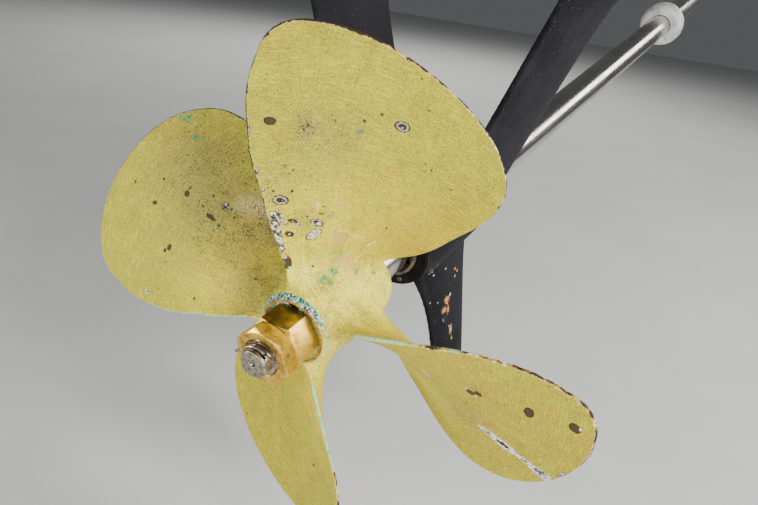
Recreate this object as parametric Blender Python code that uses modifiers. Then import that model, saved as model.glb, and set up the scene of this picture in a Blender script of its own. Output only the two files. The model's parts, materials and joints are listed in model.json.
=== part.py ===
# Four-bladed propeller on its shaft, carried by a V strut that hangs under a boat's hull.
# Metres. +Z is up, +Y is forward and +X is to starboard. The origin lies on the hull face of
# the starboard pad. The shaft climbs forward from the propeller to the hull.
import math

import bmesh
import bpy
from mathutils import Matrix, Vector

COLLECTION_NAME = "propeller_on_v_strut"
FIT_GAP = 0.0003
WELD = 0.00001

# Shaft line. Distances along the shaft are measured forward from the blades' own centre.
SHAFT_SLOPE = math.radians(12.0)
SHAFT_RADIUS = 0.0254
SHAFT_FORWARD_END = 2.050
SHAFT_SIDES = 48
END_CHAMFER = 0.003
TAPER_ON_DIAMETER = 1.0 / 16.0
TAPER_BEYOND_HUB = 0.001
THREAD_RADIUS = 0.01905
PIN_END_RADIUS = 0.01525
PIN_END_LENGTH = 0.0115
THREAD_BEYOND_NUTS = 0.0012
THREAD_END_CHAMFER = 0.0018
THREAD_SHOULDER = 0.0010
PIN_END_CHAMFER = 0.0012
CENTRE_DRILL_RADIUS = 0.003
CENTRE_DRILL_DEPTH = 0.005

# Propeller casting.
PROPELLER_RADIUS = 0.305
BLADE_COUNT = 4
FIRST_BLADE_CLOCK = math.radians(13.5)
PITCH_RATIO_INNER = 0.97
PITCH_RATIO_TIP = 0.85
BLADE_RAKE_ROOT = 0.0157
BLADE_RAKE_TIP = 0.0085
ROOT_SHARE = 0.115
ROOT_THICKNESS = 0.0175
TIP_THICKNESS = 0.0045
ROOT_THICKENING = 0.0290
THICKENING_REACH = 0.20
EDGE_THICKNESS = 0.0040
ROOT_FLARE = 0.014
FLARE_REACH = 0.011
SPAN_STEPS = 20
CHORD_STEPS = 11
# Width of the blade before its tip is rounded off, and sweep of its middle line towards the
# leading edge, both in metres along the section, at shares of the propeller's radius.
BLADE_WIDTHS = ((0.0, 0.060), (0.18, 0.100), (0.30, 0.161), (0.50, 0.243), (0.70, 0.358),
                (0.80, 0.422), (0.90, 0.466), (1.0, 0.468))
BLADE_SWEEPS = ((0.0, -0.012), (0.18, 0.000), (0.30, 0.014), (0.50, 0.017), (0.70, 0.0185),
                (0.80, 0.0125), (0.90, -0.008), (1.0, -0.056))
HUB_AFT_END = -0.0385
HUB_FORWARD_END = 0.090
HUB_AFT_RADIUS = 0.0415
HUB_FORWARD_RADIUS = 0.0450
HUB_MIDDLE_RADIUS = 0.0500
HUB_AFT_FACE_RADIUS = 0.0358
HUB_AFT_BEVEL = 0.0060
HUB_RECESS_DEPTH = 0.0030
HUB_RECESS_RADIUS = 0.0338
HUB_FORWARD_ROUND = 0.0080
HUB_SHOULDER_SHARE = 0.30
HUB_NECK_SHARE = 0.62
HUB_NECK_FALL = 0.40
HUB_SIDES = 64
CORNER_STEPS = 3

# Key between shaft and hub.
KEY_WIDTH = 0.0127
KEY_LENGTH = 0.110
KEY_HEIGHT = 0.0127
KEY_FORWARD_END = 0.100

# Nuts. Clock angles run clockwise from the top as seen from astern.
NUT_ACROSS_FLATS = 0.0570
FULL_NUT_LENGTH = 0.0345
JAM_NUT_LENGTH = 0.0180
NUT_CHAMFER = 0.0042
NUT_FACE_INSET = 0.0010
NUT_CHAMFER_OVERRUN = 0.0020
FULL_NUT_CLOCK = math.radians(34.0)
JAM_NUT_CLOCK = math.radians(48.0)
NUT_SIDES = 48

# Cotter pin through the reduced end of the shaft.
COTTER_WIRE_RADIUS = 0.0015
COTTER_SHORT_TAIL = 0.0060
COTTER_LONG_TAIL = 0.0175
COTTER_WRAP = math.radians(77.0)
COTTER_EYE_RADIUS = 0.0030
COTTER_CLOCK = math.radians(40.0)
COTTER_EYE_MOUTH = math.radians(22.0)
COTTER_EYE_STEPS = 14
COTTER_BEND_STEPS = 6
COTTER_HOLE_SIDES = 20

# Collar anode.
ANODE_FROM_FORWARD_END = 0.545
ANODE_RADIUS = 0.0500
ANODE_LENGTH = 0.0560
ANODE_SHOULDER_RADIUS = 0.0360
ANODE_SPLIT = 0.0012
ANODE_SPLIT_CLOCK = math.radians(55.0)
ANODE_SIDES = 48
ANODE_RIM_SHARE = 0.4
ANODE_ROUND_STEPS = 6
ANODE_SCREW_SIDES = 20
ANODE_SCREW_RADIUS = 0.0040
ANODE_SCREW_HEAD_RADIUS = 0.0066
ANODE_SCREW_HEAD_LENGTH = 0.0075
ANODE_SCREW_REACH = 0.0335
ANODE_SCREW_HEAD_HEIGHT = 0.0215
ANODE_SCREW_SHANK = 0.0370

# Strut casting.
AXIS_BELOW_HULL = 0.340
BARREL_CENTRE = 0.2655
BARREL_LENGTH = 0.209
BARREL_END_RADIUS = 0.0475
BARREL_MIDDLE_RADIUS = 0.0525
BARREL_BORE_RADIUS = 0.0334
BARREL_ROUND = 0.003
BARREL_WAIST_SHARE = 0.45
BARREL_SIDES = 64
ARM_ANGLE = math.radians(20.7)
ARM_OFFSET = 0.044
ARM_AFT_EDGE = -0.122
ARM_FORWARD_EDGE = 0.053
ARM_THICKNESS = 0.022
ARM_BLUNT = 0.007
ARM_FOOT_HEIGHT = -0.030
ARM_FOOT_THINNING = 0.36
ARM_ROOT_HEIGHT = -0.018
ARM_ROOT_REACH = 0.030
ARM_ROOT_AFT = 0.020
ARM_ROOT_FORWARD = 0.045
ARM_ROOT_SWELL = 0.05
ARM_HEAD_REACH = 0.035
ARM_HEAD_FORWARD = 0.070
ARM_HEAD_SWELL = 0.60
ARM_STEPS = 14
LENS_STEPS = 8
LENS_FULLNESS = 2.6
LENS_ROUNDING = 0.8
FIN_DEPTH = 0.255
FIN_LEAN = math.radians(9.5)
FIN_FORWARD_EDGE = 0.100
FIN_AFT_EDGE = 0.010
FIN_ROOT_AFT = 0.0945
FIN_AFT_LIMIT = -0.085
FIN_ROOT_DEPTH = 0.0493
FIN_THICKNESS = 0.018
FIN_BLUNT = 0.006
FIN_ROOT_BLUNT = 0.0075
FIN_BLUNT_REACH = 0.050
FIN_ROOT_SWELL = 1.4
FIN_SWELL_REACH = 0.035
FIN_STEPS = 14
FIN_START_WALL = 0.006
FIN_ROOT_REACH = 0.061
FIN_TIP_SHARPNESS = 24
FIN_TIP_LEAST = 0.25
PAD_LENGTH = 0.270
PAD_WIDTH = 0.116
PAD_THICKNESS = 0.015
PAD_CORNER = 0.030
PAD_CORNER_STEPS = 6

# Bolts that hold the pads up against the hull.
BOLT_RADIUS = 0.0079
BOLT_HEAD_RADIUS = 0.0150
BOLT_SINK = 0.0075
BOLT_HEAD_RIM = 0.0008
BOLT_HOLE_OVERRUN = 0.0040
BOLT_ALONG = 0.100
BOLT_ACROSS = 0.036
BOLT_SLOT_WIDTH = 0.0024
BOLT_SLOT_DEPTH = 0.0025
BOLT_SIDES = 24

# Water-lubricated bearing inside the barrel.
SHELL_WALL = 0.0036
RUBBER_GAP = 0.0006
GROOVE_COUNT = 8
GROOVE_RADIUS = 0.0028
GROOVE_SIDES = 12
BEARING_RECESS = -0.0045
LINING_RECESS = -0.0030

# Screws that keep the bearing from turning or sliding.
SET_SCREW_RADIUS = 0.0040
SET_SCREW_ALONG = 0.009
SET_SCREW_STAND = 0.0020
SET_SCREW_LENGTH = 0.0120
FACE_SCREW_RADIUS = 0.0030
FACE_SCREW_LENGTH = 0.0100
FACE_SCREW_STAND = 0.0010
SET_SCREW_CLOCK = math.radians(180.0)
FACE_SCREW_CLOCK = math.radians(163.0)
SCREW_SIDES = 16

# Values worked out from the ones above.
TAPER_SLOPE = TAPER_ON_DIAMETER / 2.0
ANODE_CENTRE = SHAFT_FORWARD_END - ANODE_FROM_FORWARD_END
TAPER_FORWARD_END = HUB_FORWARD_END + TAPER_BEYOND_HUB
NUT_SEAT = HUB_AFT_END + HUB_RECESS_DEPTH
FULL_NUT_FORWARD = NUT_SEAT - FIT_GAP
FULL_NUT_AFT = FULL_NUT_FORWARD - FULL_NUT_LENGTH
THREAD_FORWARD = FULL_NUT_FORWARD + THREAD_SHOULDER
JAM_NUT_FORWARD = FULL_NUT_AFT - FIT_GAP
JAM_NUT_AFT = JAM_NUT_FORWARD - JAM_NUT_LENGTH
THREAD_AFT = JAM_NUT_AFT - THREAD_BEYOND_NUTS
SHAFT_AFT_END = THREAD_AFT - PIN_END_LENGTH
COTTER_ALONG = THREAD_AFT - PIN_END_LENGTH * 0.5
BARREL_AFT = BARREL_CENTRE - BARREL_LENGTH / 2.0
BARREL_FORWARD = BARREL_CENTRE + BARREL_LENGTH / 2.0
SHELL_OUTER = BARREL_BORE_RADIUS - FIT_GAP
SHELL_INNER = SHELL_OUTER - SHELL_WALL
RUBBER_OUTER = SHELL_INNER - FIT_GAP
RUBBER_INNER = SHAFT_RADIUS + RUBBER_GAP
PAD_OFFSET = ARM_OFFSET + AXIS_BELOW_HULL * math.tan(ARM_ANGLE)


def clear_scene():
    for obj in list(bpy.data.objects):
        bpy.data.objects.remove(obj, do_unlink=True)


def make_collections():
    parts = bpy.data.collections.new(COLLECTION_NAME)
    cutters = bpy.data.collections.new("cutters")
    bpy.context.scene.collection.children.link(parts)
    bpy.context.scene.collection.children.link(cutters)
    return parts, cutters


def make_material(name, colour, roughness, metallic):
    material = bpy.data.materials.new(name)
    material.use_nodes = True
    shader = material.node_tree.nodes["Principled BSDF"]
    shader.inputs["Base Color"].default_value = (*colour, 1.0)
    shader.inputs["Roughness"].default_value = roughness
    shader.inputs["Metallic"].default_value = metallic
    material.diffuse_color = (*colour, 1.0)
    return material


def place(obj, collection, parent=None, matrix=None):
    collection.objects.link(obj)
    if parent is not None:
        obj.parent = parent
    if matrix is not None:
        obj.matrix_basis = matrix
    return obj


def make_cutter(obj):
    obj.hide_render = True
    obj.display_type = "WIRE"
    return obj


def new_object(name, mesh, material):
    obj = bpy.data.objects.new(name, mesh)
    if material is not None:
        mesh.materials.append(material)
    return obj


def boolean(obj, cutter, operation):
    step = obj.modifiers.new(f"{operation.lower()}_{cutter.name}", "BOOLEAN")
    step.operation = operation
    step.object = cutter
    step.solver = "EXACT"


def smooth_sides(mesh, angle=math.radians(32.0)):
    mesh.shade_smooth()
    mesh.set_sharp_from_angle(angle=angle)


# A turned piece: a profile of (distance along the axis, radius) pairs that runs from the
# forward end along the outer side to the aft end. The piece's own Z axis is its turning axis.
def turned(name, profile, sides, material, closed=False):
    mesh = bpy.data.meshes.new(name)
    shape = bmesh.new()
    points = [shape.verts.new((radius, 0.0, along)) for along, radius in profile]
    for first, second in zip(points, points[1:]):
        shape.edges.new((first, second))
    if closed:
        shape.edges.new((points[-1], points[0]))
    shape.to_mesh(mesh)
    shape.free()
    obj = new_object(name, mesh, material)
    turn = obj.modifiers.new("turn", "SCREW")
    turn.axis = "Z"
    turn.angle = 2.0 * math.pi
    turn.steps = sides
    turn.render_steps = sides
    turn.use_merge_vertices = True
    turn.merge_threshold = WELD
    turn.use_smooth_shade = True
    return obj


# Turns a piece's own Z axis forward along the shaft line.
def along_shaft(distance=0.0):
    return Matrix.Translation((0.0, distance, 0.0)) @ Matrix.Rotation(-math.pi / 2.0, 4, "X")


# Points a piece's own Z axis away from the shaft at a clock angle.
def out_from_shaft(distance, clock, radius):
    turn = Matrix.Rotation(clock, 4, "Y")
    return Matrix.Translation((0.0, distance, 0.0)) @ turn @ Matrix.Translation((0.0, 0.0, radius))


# Smooth value between hand-set stations, with slopes taken from the neighbours.
def station_value(stations, at):
    last = len(stations) - 1
    span = 0
    while span < last - 1 and at > stations[span + 1][0]:
        span += 1
    (x0, y0), (x1, y1) = stations[span], stations[span + 1]
    before = stations[max(span - 1, 0)]
    after = stations[min(span + 2, last)]
    slope0 = (y1 - before[1]) / (x1 - before[0])
    slope1 = (after[1] - y0) / (after[0] - x0)
    width = x1 - x0
    t = (at - x0) / width
    rise = 2 * t ** 3 - 3 * t ** 2 + 1
    return (rise * y0 + (1 - rise) * y1 + (t ** 3 - 2 * t ** 2 + t) * width * slope0
            + (t ** 3 - t ** 2) * width * slope1)


def blend(start, end, share):
    return start + (end - start) * share


def arc_points(centre, radius, start, end, steps):
    points = []
    for step in range(steps + 1):
        angle = blend(start, end, step / steps)
        points.append((centre[0] + radius * math.cos(angle), centre[1] + radius * math.sin(angle)))
    return points


# Round between an end face and the side of a turned piece, listed from the face to the side.
# Facing is 1 at a forward end and -1 at an aft end.
def rounded_end(end, radius, rounding, facing):
    points = arc_points((0.0, radius - rounding), rounding, 0.0, math.pi / 2.0, CORNER_STEPS)
    return [(end + facing * (out - rounding), across) for out, across in points]


def make_box(name, size, material):
    mesh = bpy.data.meshes.new(name)
    shape = bmesh.new()
    bmesh.ops.create_cube(shape, size=1.0)
    bmesh.ops.scale(shape, vec=size, verts=shape.verts)
    shape.to_mesh(mesh)
    shape.free()
    return new_object(name, mesh, material)


# A plain round rod along its own Z axis, centred on its own origin.
def make_rod(name, radius, length, material, sides):
    mesh = bpy.data.meshes.new(name)
    shape = bmesh.new()
    bmesh.ops.create_cone(shape, cap_ends=True, segments=sides, radius1=radius, radius2=radius,
                          depth=length)
    shape.to_mesh(mesh)
    shape.free()
    smooth_sides(mesh)
    return new_object(name, mesh, material)


def blade_section(share):
    radius = share * PROPELLER_RADIUS
    rounding = math.sqrt(max(1.0 - share * share, 0.0))
    flare = math.exp(-max(radius - HUB_MIDDLE_RADIUS, 0.0) / FLARE_REACH)
    width = station_value(BLADE_WIDTHS, share) * rounding + ROOT_FLARE * flare
    thickening = ROOT_THICKENING * math.exp(-share / THICKENING_REACH)
    thickness = blend(ROOT_THICKNESS, TIP_THICKNESS, share) + thickening + ROOT_FLARE * flare
    pitch_ratio = blend(PITCH_RATIO_INNER, PITCH_RATIO_TIP, share ** 4)
    slope = math.atan2(pitch_ratio * PROPELLER_RADIUS / math.pi, radius)
    return {
        "radius": radius,
        "half_width": width / 2.0,
        "sweep": station_value(BLADE_SWEEPS, share),
        "thickness": thickness,
        "rake": blend(BLADE_RAKE_ROOT, BLADE_RAKE_TIP, share ** 2),
        "slope": slope,
    }


# A point of a blade: across runs from -1 at the trailing edge to 1 at the leading edge, and
# height is the distance from the blade's middle surface towards its forward side.
def blade_point(section, across, height, clock):
    along_section = section["sweep"] + across * section["half_width"]
    slope = section["slope"]
    arc = along_section * math.cos(slope) - height * math.sin(slope)
    forward = section["rake"] + along_section * math.sin(slope) + height * math.cos(slope)
    angle = clock + arc / section["radius"]
    radius = section["radius"]
    return Vector((radius * math.sin(angle), forward, radius * math.cos(angle)))


def blade_ring(section, clock):
    edge = min(EDGE_THICKNESS, section["thickness"]) / 2.0
    points = []
    for step in range(CHORD_STEPS + 1):
        across = -math.cos(math.pi * step / CHORD_STEPS)
        blunt = math.sqrt(max(1.0 - across ** 8, 0.0))
        points.append(blade_point(section, across, -edge * blunt, clock))
    for step in range(CHORD_STEPS - 1, 0, -1):
        across = -math.cos(math.pi * step / CHORD_STEPS)
        blunt = math.sqrt(max(1.0 - across ** 8, 0.0))
        crown = (section["thickness"] - 2.0 * edge) * (1.0 - across ** 2)
        points.append(blade_point(section, across, edge * blunt + crown, clock))
    return points


# Closed skin through rings of points, with a flat first end and a last end that is flat too,
# or drawn to one point.
def loft(name, rings, material, tip=None):
    mesh = bpy.data.meshes.new(name)
    shape = bmesh.new()
    rows = [[shape.verts.new(point) for point in ring] for ring in rings]
    count = len(rows[0])
    for lower, upper in zip(rows, rows[1:]):
        for i in range(count):
            j = (i + 1) % count
            shape.faces.new((lower[i], lower[j], upper[j], upper[i]))
    shape.faces.new(list(reversed(rows[0])))
    if tip is None:
        shape.faces.new(rows[-1])
    else:
        point = shape.verts.new(tip)
        for i in range(count):
            shape.faces.new((rows[-1][i], rows[-1][(i + 1) % count], point))
    bmesh.ops.recalc_face_normals(shape, faces=shape.faces)
    shape.to_mesh(mesh)
    shape.free()
    smooth_sides(mesh)
    return new_object(name, mesh, material)


def make_blade(number, material):
    clock = FIRST_BLADE_CLOCK + number * 2.0 * math.pi / BLADE_COUNT
    rings = []
    for step in range(SPAN_STEPS):
        share = ROOT_SHARE + (1.0 - ROOT_SHARE) * math.sin(math.pi / 2.0 * step / SPAN_STEPS)
        rings.append(blade_ring(blade_section(share), clock))
    tip = blade_point(blade_section(1.0), 0.0, 0.0, clock)
    return loft(f"blade_form_{number + 1}", rings, material, tip)


def bore_radius(along):
    return SHAFT_RADIUS - max(TAPER_FORWARD_END - along, 0.0) * TAPER_SLOPE + FIT_GAP


def hub_profile():
    shoulder = blend(HUB_FORWARD_END, HUB_AFT_END, HUB_SHOULDER_SHARE)
    neck = blend(HUB_FORWARD_END, HUB_AFT_END, HUB_NECK_SHARE)
    return [(HUB_FORWARD_END, bore_radius(HUB_FORWARD_END))] + rounded_end(
        HUB_FORWARD_END, HUB_FORWARD_RADIUS, HUB_FORWARD_ROUND, 1.0) + [
        (shoulder, HUB_MIDDLE_RADIUS),
        (neck, blend(HUB_MIDDLE_RADIUS, HUB_AFT_RADIUS, HUB_NECK_FALL)),
        (HUB_AFT_END + HUB_AFT_BEVEL, HUB_AFT_RADIUS),
        (HUB_AFT_END, HUB_AFT_FACE_RADIUS),
        (HUB_AFT_END, HUB_RECESS_RADIUS),
        (NUT_SEAT, HUB_RECESS_RADIUS),
        (NUT_SEAT, bore_radius(NUT_SEAT)),
    ]


def make_propeller(parts, cutters, axis, material):
    hub = turned("propeller", hub_profile(), HUB_SIDES, material, closed=True)
    place(hub, parts, axis, along_shaft())
    for number in range(BLADE_COUNT):
        blade = make_cutter(make_blade(number, material))
        place(blade, cutters, axis)
        boolean(hub, blade, "UNION")
    middle = (HUB_FORWARD_END + HUB_AFT_END) / 2.0
    top = SHAFT_RADIUS + KEY_HEIGHT / 2.0 + FIT_GAP
    length = 2.0 * (HUB_FORWARD_END - HUB_AFT_END)
    keyway = make_box("hub_keyway", (KEY_WIDTH + 2.0 * FIT_GAP, length, top), None)
    place(make_cutter(keyway), cutters, axis, Matrix.Translation((0.0, middle, top / 2.0)))
    boolean(hub, keyway, "DIFFERENCE")
    return hub


def shaft_profile():
    return (
        (SHAFT_FORWARD_END, 0.0),
        (SHAFT_FORWARD_END, SHAFT_RADIUS - END_CHAMFER),
        (SHAFT_FORWARD_END - END_CHAMFER, SHAFT_RADIUS),
        (TAPER_FORWARD_END, SHAFT_RADIUS),
        (THREAD_FORWARD, bore_radius(THREAD_FORWARD) - FIT_GAP),
        (THREAD_FORWARD, THREAD_RADIUS),
        (THREAD_AFT + THREAD_END_CHAMFER, THREAD_RADIUS),
        (THREAD_AFT, THREAD_RADIUS - THREAD_END_CHAMFER),
        (THREAD_AFT, PIN_END_RADIUS),
        (SHAFT_AFT_END + PIN_END_CHAMFER, PIN_END_RADIUS),
        (SHAFT_AFT_END, PIN_END_RADIUS - PIN_END_CHAMFER),
        (SHAFT_AFT_END, CENTRE_DRILL_RADIUS),
        (SHAFT_AFT_END + CENTRE_DRILL_DEPTH, 0.0),
    )


def make_shaft(parts, cutters, axis, material):
    shaft = turned("propeller_shaft", shaft_profile(), SHAFT_SIDES, material)
    place(shaft, parts, axis, along_shaft())
    keyway = make_box("shaft_keyway", (KEY_WIDTH + 2.0 * FIT_GAP, KEY_LENGTH + 2.0 * FIT_GAP,
                                       KEY_HEIGHT), None)
    middle = KEY_FORWARD_END - KEY_LENGTH / 2.0
    place(make_cutter(keyway), cutters, axis,
          Matrix.Translation((0.0, middle, SHAFT_RADIUS - FIT_GAP)))
    boolean(shaft, keyway, "DIFFERENCE")
    hole = make_rod("cotter_hole", 2.0 * (COTTER_WIRE_RADIUS + FIT_GAP), 4.0 * PIN_END_RADIUS,
                    None, COTTER_HOLE_SIDES)
    place(make_cutter(hole), cutters, axis, out_from_shaft(COTTER_ALONG, COTTER_CLOCK, 0.0))
    boolean(shaft, hole, "DIFFERENCE")
    return shaft


def make_key(parts, axis, material):
    key = make_box("shaft_key", (KEY_WIDTH, KEY_LENGTH, KEY_HEIGHT), material)
    middle = KEY_FORWARD_END - KEY_LENGTH / 2.0
    place(key, parts, axis, Matrix.Translation((0.0, middle, SHAFT_RADIUS)))
    return key


def make_nut(name, forward, length, clock, parts, cutters, axis, material):
    flat = NUT_ACROSS_FLATS / 2.0
    corner = flat / math.cos(math.pi / 6.0)
    aft = forward - length
    hexagon = make_rod(name, corner, length, material, 6)
    hexagon.data.transform(Matrix.Rotation(clock, 4, "Z"))
    for polygon in hexagon.data.polygons:
        polygon.use_smooth = False
    place(hexagon, parts, axis, along_shaft((forward + aft) / 2.0))
    bore = THREAD_RADIUS + FIT_GAP
    profile = (
        (forward, bore),
        (forward, flat - NUT_FACE_INSET),
        (forward - NUT_CHAMFER, corner + NUT_CHAMFER_OVERRUN),
        (aft + NUT_CHAMFER, corner + NUT_CHAMFER_OVERRUN),
        (aft, flat - NUT_FACE_INSET),
        (aft, bore),
    )
    envelope = turned(f"{name}_envelope", profile, NUT_SIDES, None, closed=True)
    place(make_cutter(envelope), cutters, axis, along_shaft())
    boolean(hexagon, envelope, "INTERSECT")
    return hexagon


# The pin's route across the shaft as (side, out) pairs: a long tail bent over the shaft's end
# that stands off to port, its leg, the eye, the other leg and its short tail.
def cotter_route():
    half = COTTER_WIRE_RADIUS + FIT_GAP / 2.0
    over = PIN_END_RADIUS + COTTER_WIRE_RADIUS + FIT_GAP
    bend = arc_points((0.0, 0.0), over, math.pi / 2.0 + COTTER_WRAP,
                      math.pi / 2.0 + math.asin(half / over), COTTER_BEND_STEPS)
    side, out = bend[0]
    long_tip = (side - COTTER_LONG_TAIL * math.cos(COTTER_WRAP),
                out - COTTER_LONG_TAIL * math.sin(COTTER_WRAP))
    mouth = math.pi / 2.0 + COTTER_EYE_MOUTH
    eye = arc_points((0.0, -over - COTTER_EYE_RADIUS), COTTER_EYE_RADIUS, mouth,
                     2.0 * math.pi + math.pi - mouth, COTTER_EYE_STEPS)
    short_tip = (half + COTTER_SHORT_TAIL, over + COTTER_SHORT_TAIL / 2.0)
    return [long_tip] + bend + eye + [(half, over), short_tip]


def make_cotter_pin(parts, axis, material):
    curve = bpy.data.curves.new("cotter_pin", "CURVE")
    curve.dimensions = "3D"
    curve.bevel_depth = COTTER_WIRE_RADIUS
    curve.bevel_resolution = 2
    curve.use_fill_caps = True
    line = curve.splines.new("POLY")
    route = cotter_route()
    line.points.add(len(route) - 1)
    for point, (side, out) in zip(line.points, route):
        point.co = (side, 0.0, out, 1.0)
    curve.materials.append(material)
    pin = bpy.data.objects.new("cotter_pin", curve)
    place(pin, parts, axis, out_from_shaft(COTTER_ALONG, COTTER_CLOCK, 0.0))
    return pin


def anode_profile():
    half = ANODE_LENGTH / 2.0
    bore = SHAFT_RADIUS + FIT_GAP
    rim = half * ANODE_RIM_SHARE
    points = [(half, bore)]
    for step in range(ANODE_ROUND_STEPS + 1):
        angle = math.pi / 2.0 * step / ANODE_ROUND_STEPS
        points.append((blend(rim, half, math.cos(angle)),
                       blend(ANODE_SHOULDER_RADIUS, ANODE_RADIUS, math.sin(angle))))
    return points + [(-along, radius) for along, radius in reversed(points)]


def make_anode(parts, cutters, axis, zinc, steel):
    reach = ANODE_RADIUS * 2.0
    centre = (Matrix.Translation((0.0, ANODE_CENTRE, 0.0))
              @ Matrix.Rotation(ANODE_SPLIT_CLOCK, 4, "Y"))
    screws = ((1, centre @ Matrix.Translation((ANODE_SCREW_REACH, 0.0, 0.0))),
              (2, centre @ Matrix.Translation((-ANODE_SCREW_REACH, 0.0, 0.0))))
    for side, away in (("upper", -1.0), ("lower", 1.0)):
        half = turned(f"anode_{side}_half", anode_profile(), ANODE_SIDES, zinc, closed=True)
        place(half, parts, axis, along_shaft(ANODE_CENTRE))
        space = make_box(f"anode_{side}_cut", (2.0 * reach, 2.0 * ANODE_LENGTH, reach), None)
        offset = away * (reach / 2.0 - ANODE_SPLIT / 2.0)
        place(make_cutter(space), cutters, axis, centre @ Matrix.Translation((0.0, 0.0, offset)))
        boolean(half, space, "DIFFERENCE")
        for number, frame in screws:
            hole = screw_shape(f"anode_{side}_hole_{number}", FIT_GAP, ANODE_RADIUS, None)
            place(make_cutter(hole), cutters, axis, frame)
            boolean(half, hole, "DIFFERENCE")
    for number, frame in screws:
        place(screw_shape(f"anode_screw_{number}", 0.0, 0.0, steel), parts, axis, frame)


# A screw of the anode, or with a gap and a recess above its head the hole that it sits in.
def screw_shape(name, gap, recess, material):
    top = ANODE_SCREW_HEAD_HEIGHT + recess
    shoulder = ANODE_SCREW_HEAD_HEIGHT - ANODE_SCREW_HEAD_LENGTH - gap
    foot = ANODE_SCREW_HEAD_HEIGHT - ANODE_SCREW_SHANK - gap
    profile = (
        (top, 0.0),
        (top, ANODE_SCREW_HEAD_RADIUS + gap),
        (shoulder, ANODE_SCREW_HEAD_RADIUS + gap),
        (shoulder, ANODE_SCREW_RADIUS + gap),
        (foot, ANODE_SCREW_RADIUS + gap),
        (foot, 0.0),
    )
    return turned(name, profile, ANODE_SCREW_SIDES, material)


# Outline of an arm or of the fin: a lens with a blunt after edge, as (along, side) pairs.
def lens_outline(aft, forward, thickness, blunt):
    points = []
    for step in range(LENS_STEPS + 1):
        share = -math.cos(math.pi * step / LENS_STEPS)
        along = blend(aft, forward, (1.0 + share) / 2.0)
        points.append((along, lens_half(share, thickness, blunt)))
    points += [(along, -side) for along, side in reversed(points[:-1])]
    return points


def lens_half(share, thickness, blunt):
    fullness = max(1.0 - abs(share) ** LENS_FULLNESS, 0.0)
    edge = blunt / 2.0 * (1.0 - share) / 2.0
    return max(thickness / 2.0 * fullness ** LENS_ROUNDING, edge)


# The rings follow the shaft's slope at the barrel and level out towards the hull.
def arm_point(sign, height, along, across):
    middle = sign * (ARM_OFFSET + height * math.tan(ARM_ANGLE))
    return Vector((middle + across / math.cos(ARM_ANGLE), along, height))


def make_arm(side, material):
    sign = 1.0 if side == "starboard" else -1.0
    rings = []
    top = AXIS_BELOW_HULL - PAD_THICKNESS / 2.0
    for step in range(ARM_STEPS + 1):
        share = step / ARM_STEPS
        height = blend(ARM_FOOT_HEIGHT, top, share)
        root = math.exp(-max(height - ARM_ROOT_HEIGHT, 0.0) / ARM_ROOT_REACH)
        head = math.exp(-(top - height) / ARM_HEAD_REACH)
        aft = ARM_AFT_EDGE + ARM_ROOT_AFT * root
        forward = ARM_FORWARD_EDGE + ARM_ROOT_FORWARD * root + ARM_HEAD_FORWARD * head
        thickness = ARM_THICKNESS * (1.0 + ARM_ROOT_SWELL * root + ARM_HEAD_SWELL * head)
        if step == 0:
            thickness *= ARM_FOOT_THINNING
        slope = math.tan(SHAFT_SLOPE) * (1.0 - share)
        outline = lens_outline(aft, forward, thickness, min(ARM_BLUNT, thickness))
        rings.append([arm_point(sign, height + along * slope, along, across)
                      for along, across in outline])
    return loft(f"{side}_arm_form", rings, material)


def fin_after_edge(depth):
    root = math.exp(-(depth - FIN_ROOT_DEPTH) / FIN_ROOT_REACH)
    return max(FIN_AFT_EDGE - FIN_ROOT_AFT * root, FIN_AFT_LIMIT)


def fin_point(depth, along, across):
    return Vector((depth * math.tan(FIN_LEAN) + across, along, -depth))


def make_fin(material):
    rings = []
    top = BARREL_BORE_RADIUS + FIN_START_WALL
    for step in range(FIN_STEPS + 1):
        depth = blend(top, FIN_DEPTH, math.sin(math.pi / 2.0 * step / FIN_STEPS))
        share = depth / FIN_DEPTH
        slope = math.tan(SHAFT_SLOPE) * (1.0 - share)
        fullness = math.sqrt(max(1.0 - share ** FIN_TIP_SHARPNESS, 0.0))
        rounding = blend(FIN_TIP_LEAST, 1.0, fullness)
        aft = fin_after_edge(depth - fin_after_edge(depth) * slope)
        middle = (aft + FIN_FORWARD_EDGE) / 2.0
        half = (FIN_FORWARD_EDGE - aft) / 2.0 * rounding
        below = depth - FIN_ROOT_DEPTH
        swell = 1.0 + FIN_ROOT_SWELL * math.exp(-below / FIN_SWELL_REACH)
        blunt = FIN_BLUNT + FIN_ROOT_BLUNT * math.exp(-below / FIN_BLUNT_REACH)
        outline = lens_outline(middle - half, middle + half, FIN_THICKNESS * swell * rounding,
                               blunt * rounding)
        rings.append([fin_point(depth - along * slope, along, across)
                      for along, across in outline])
    return loft("lower_fin_form", rings, material)


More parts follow.
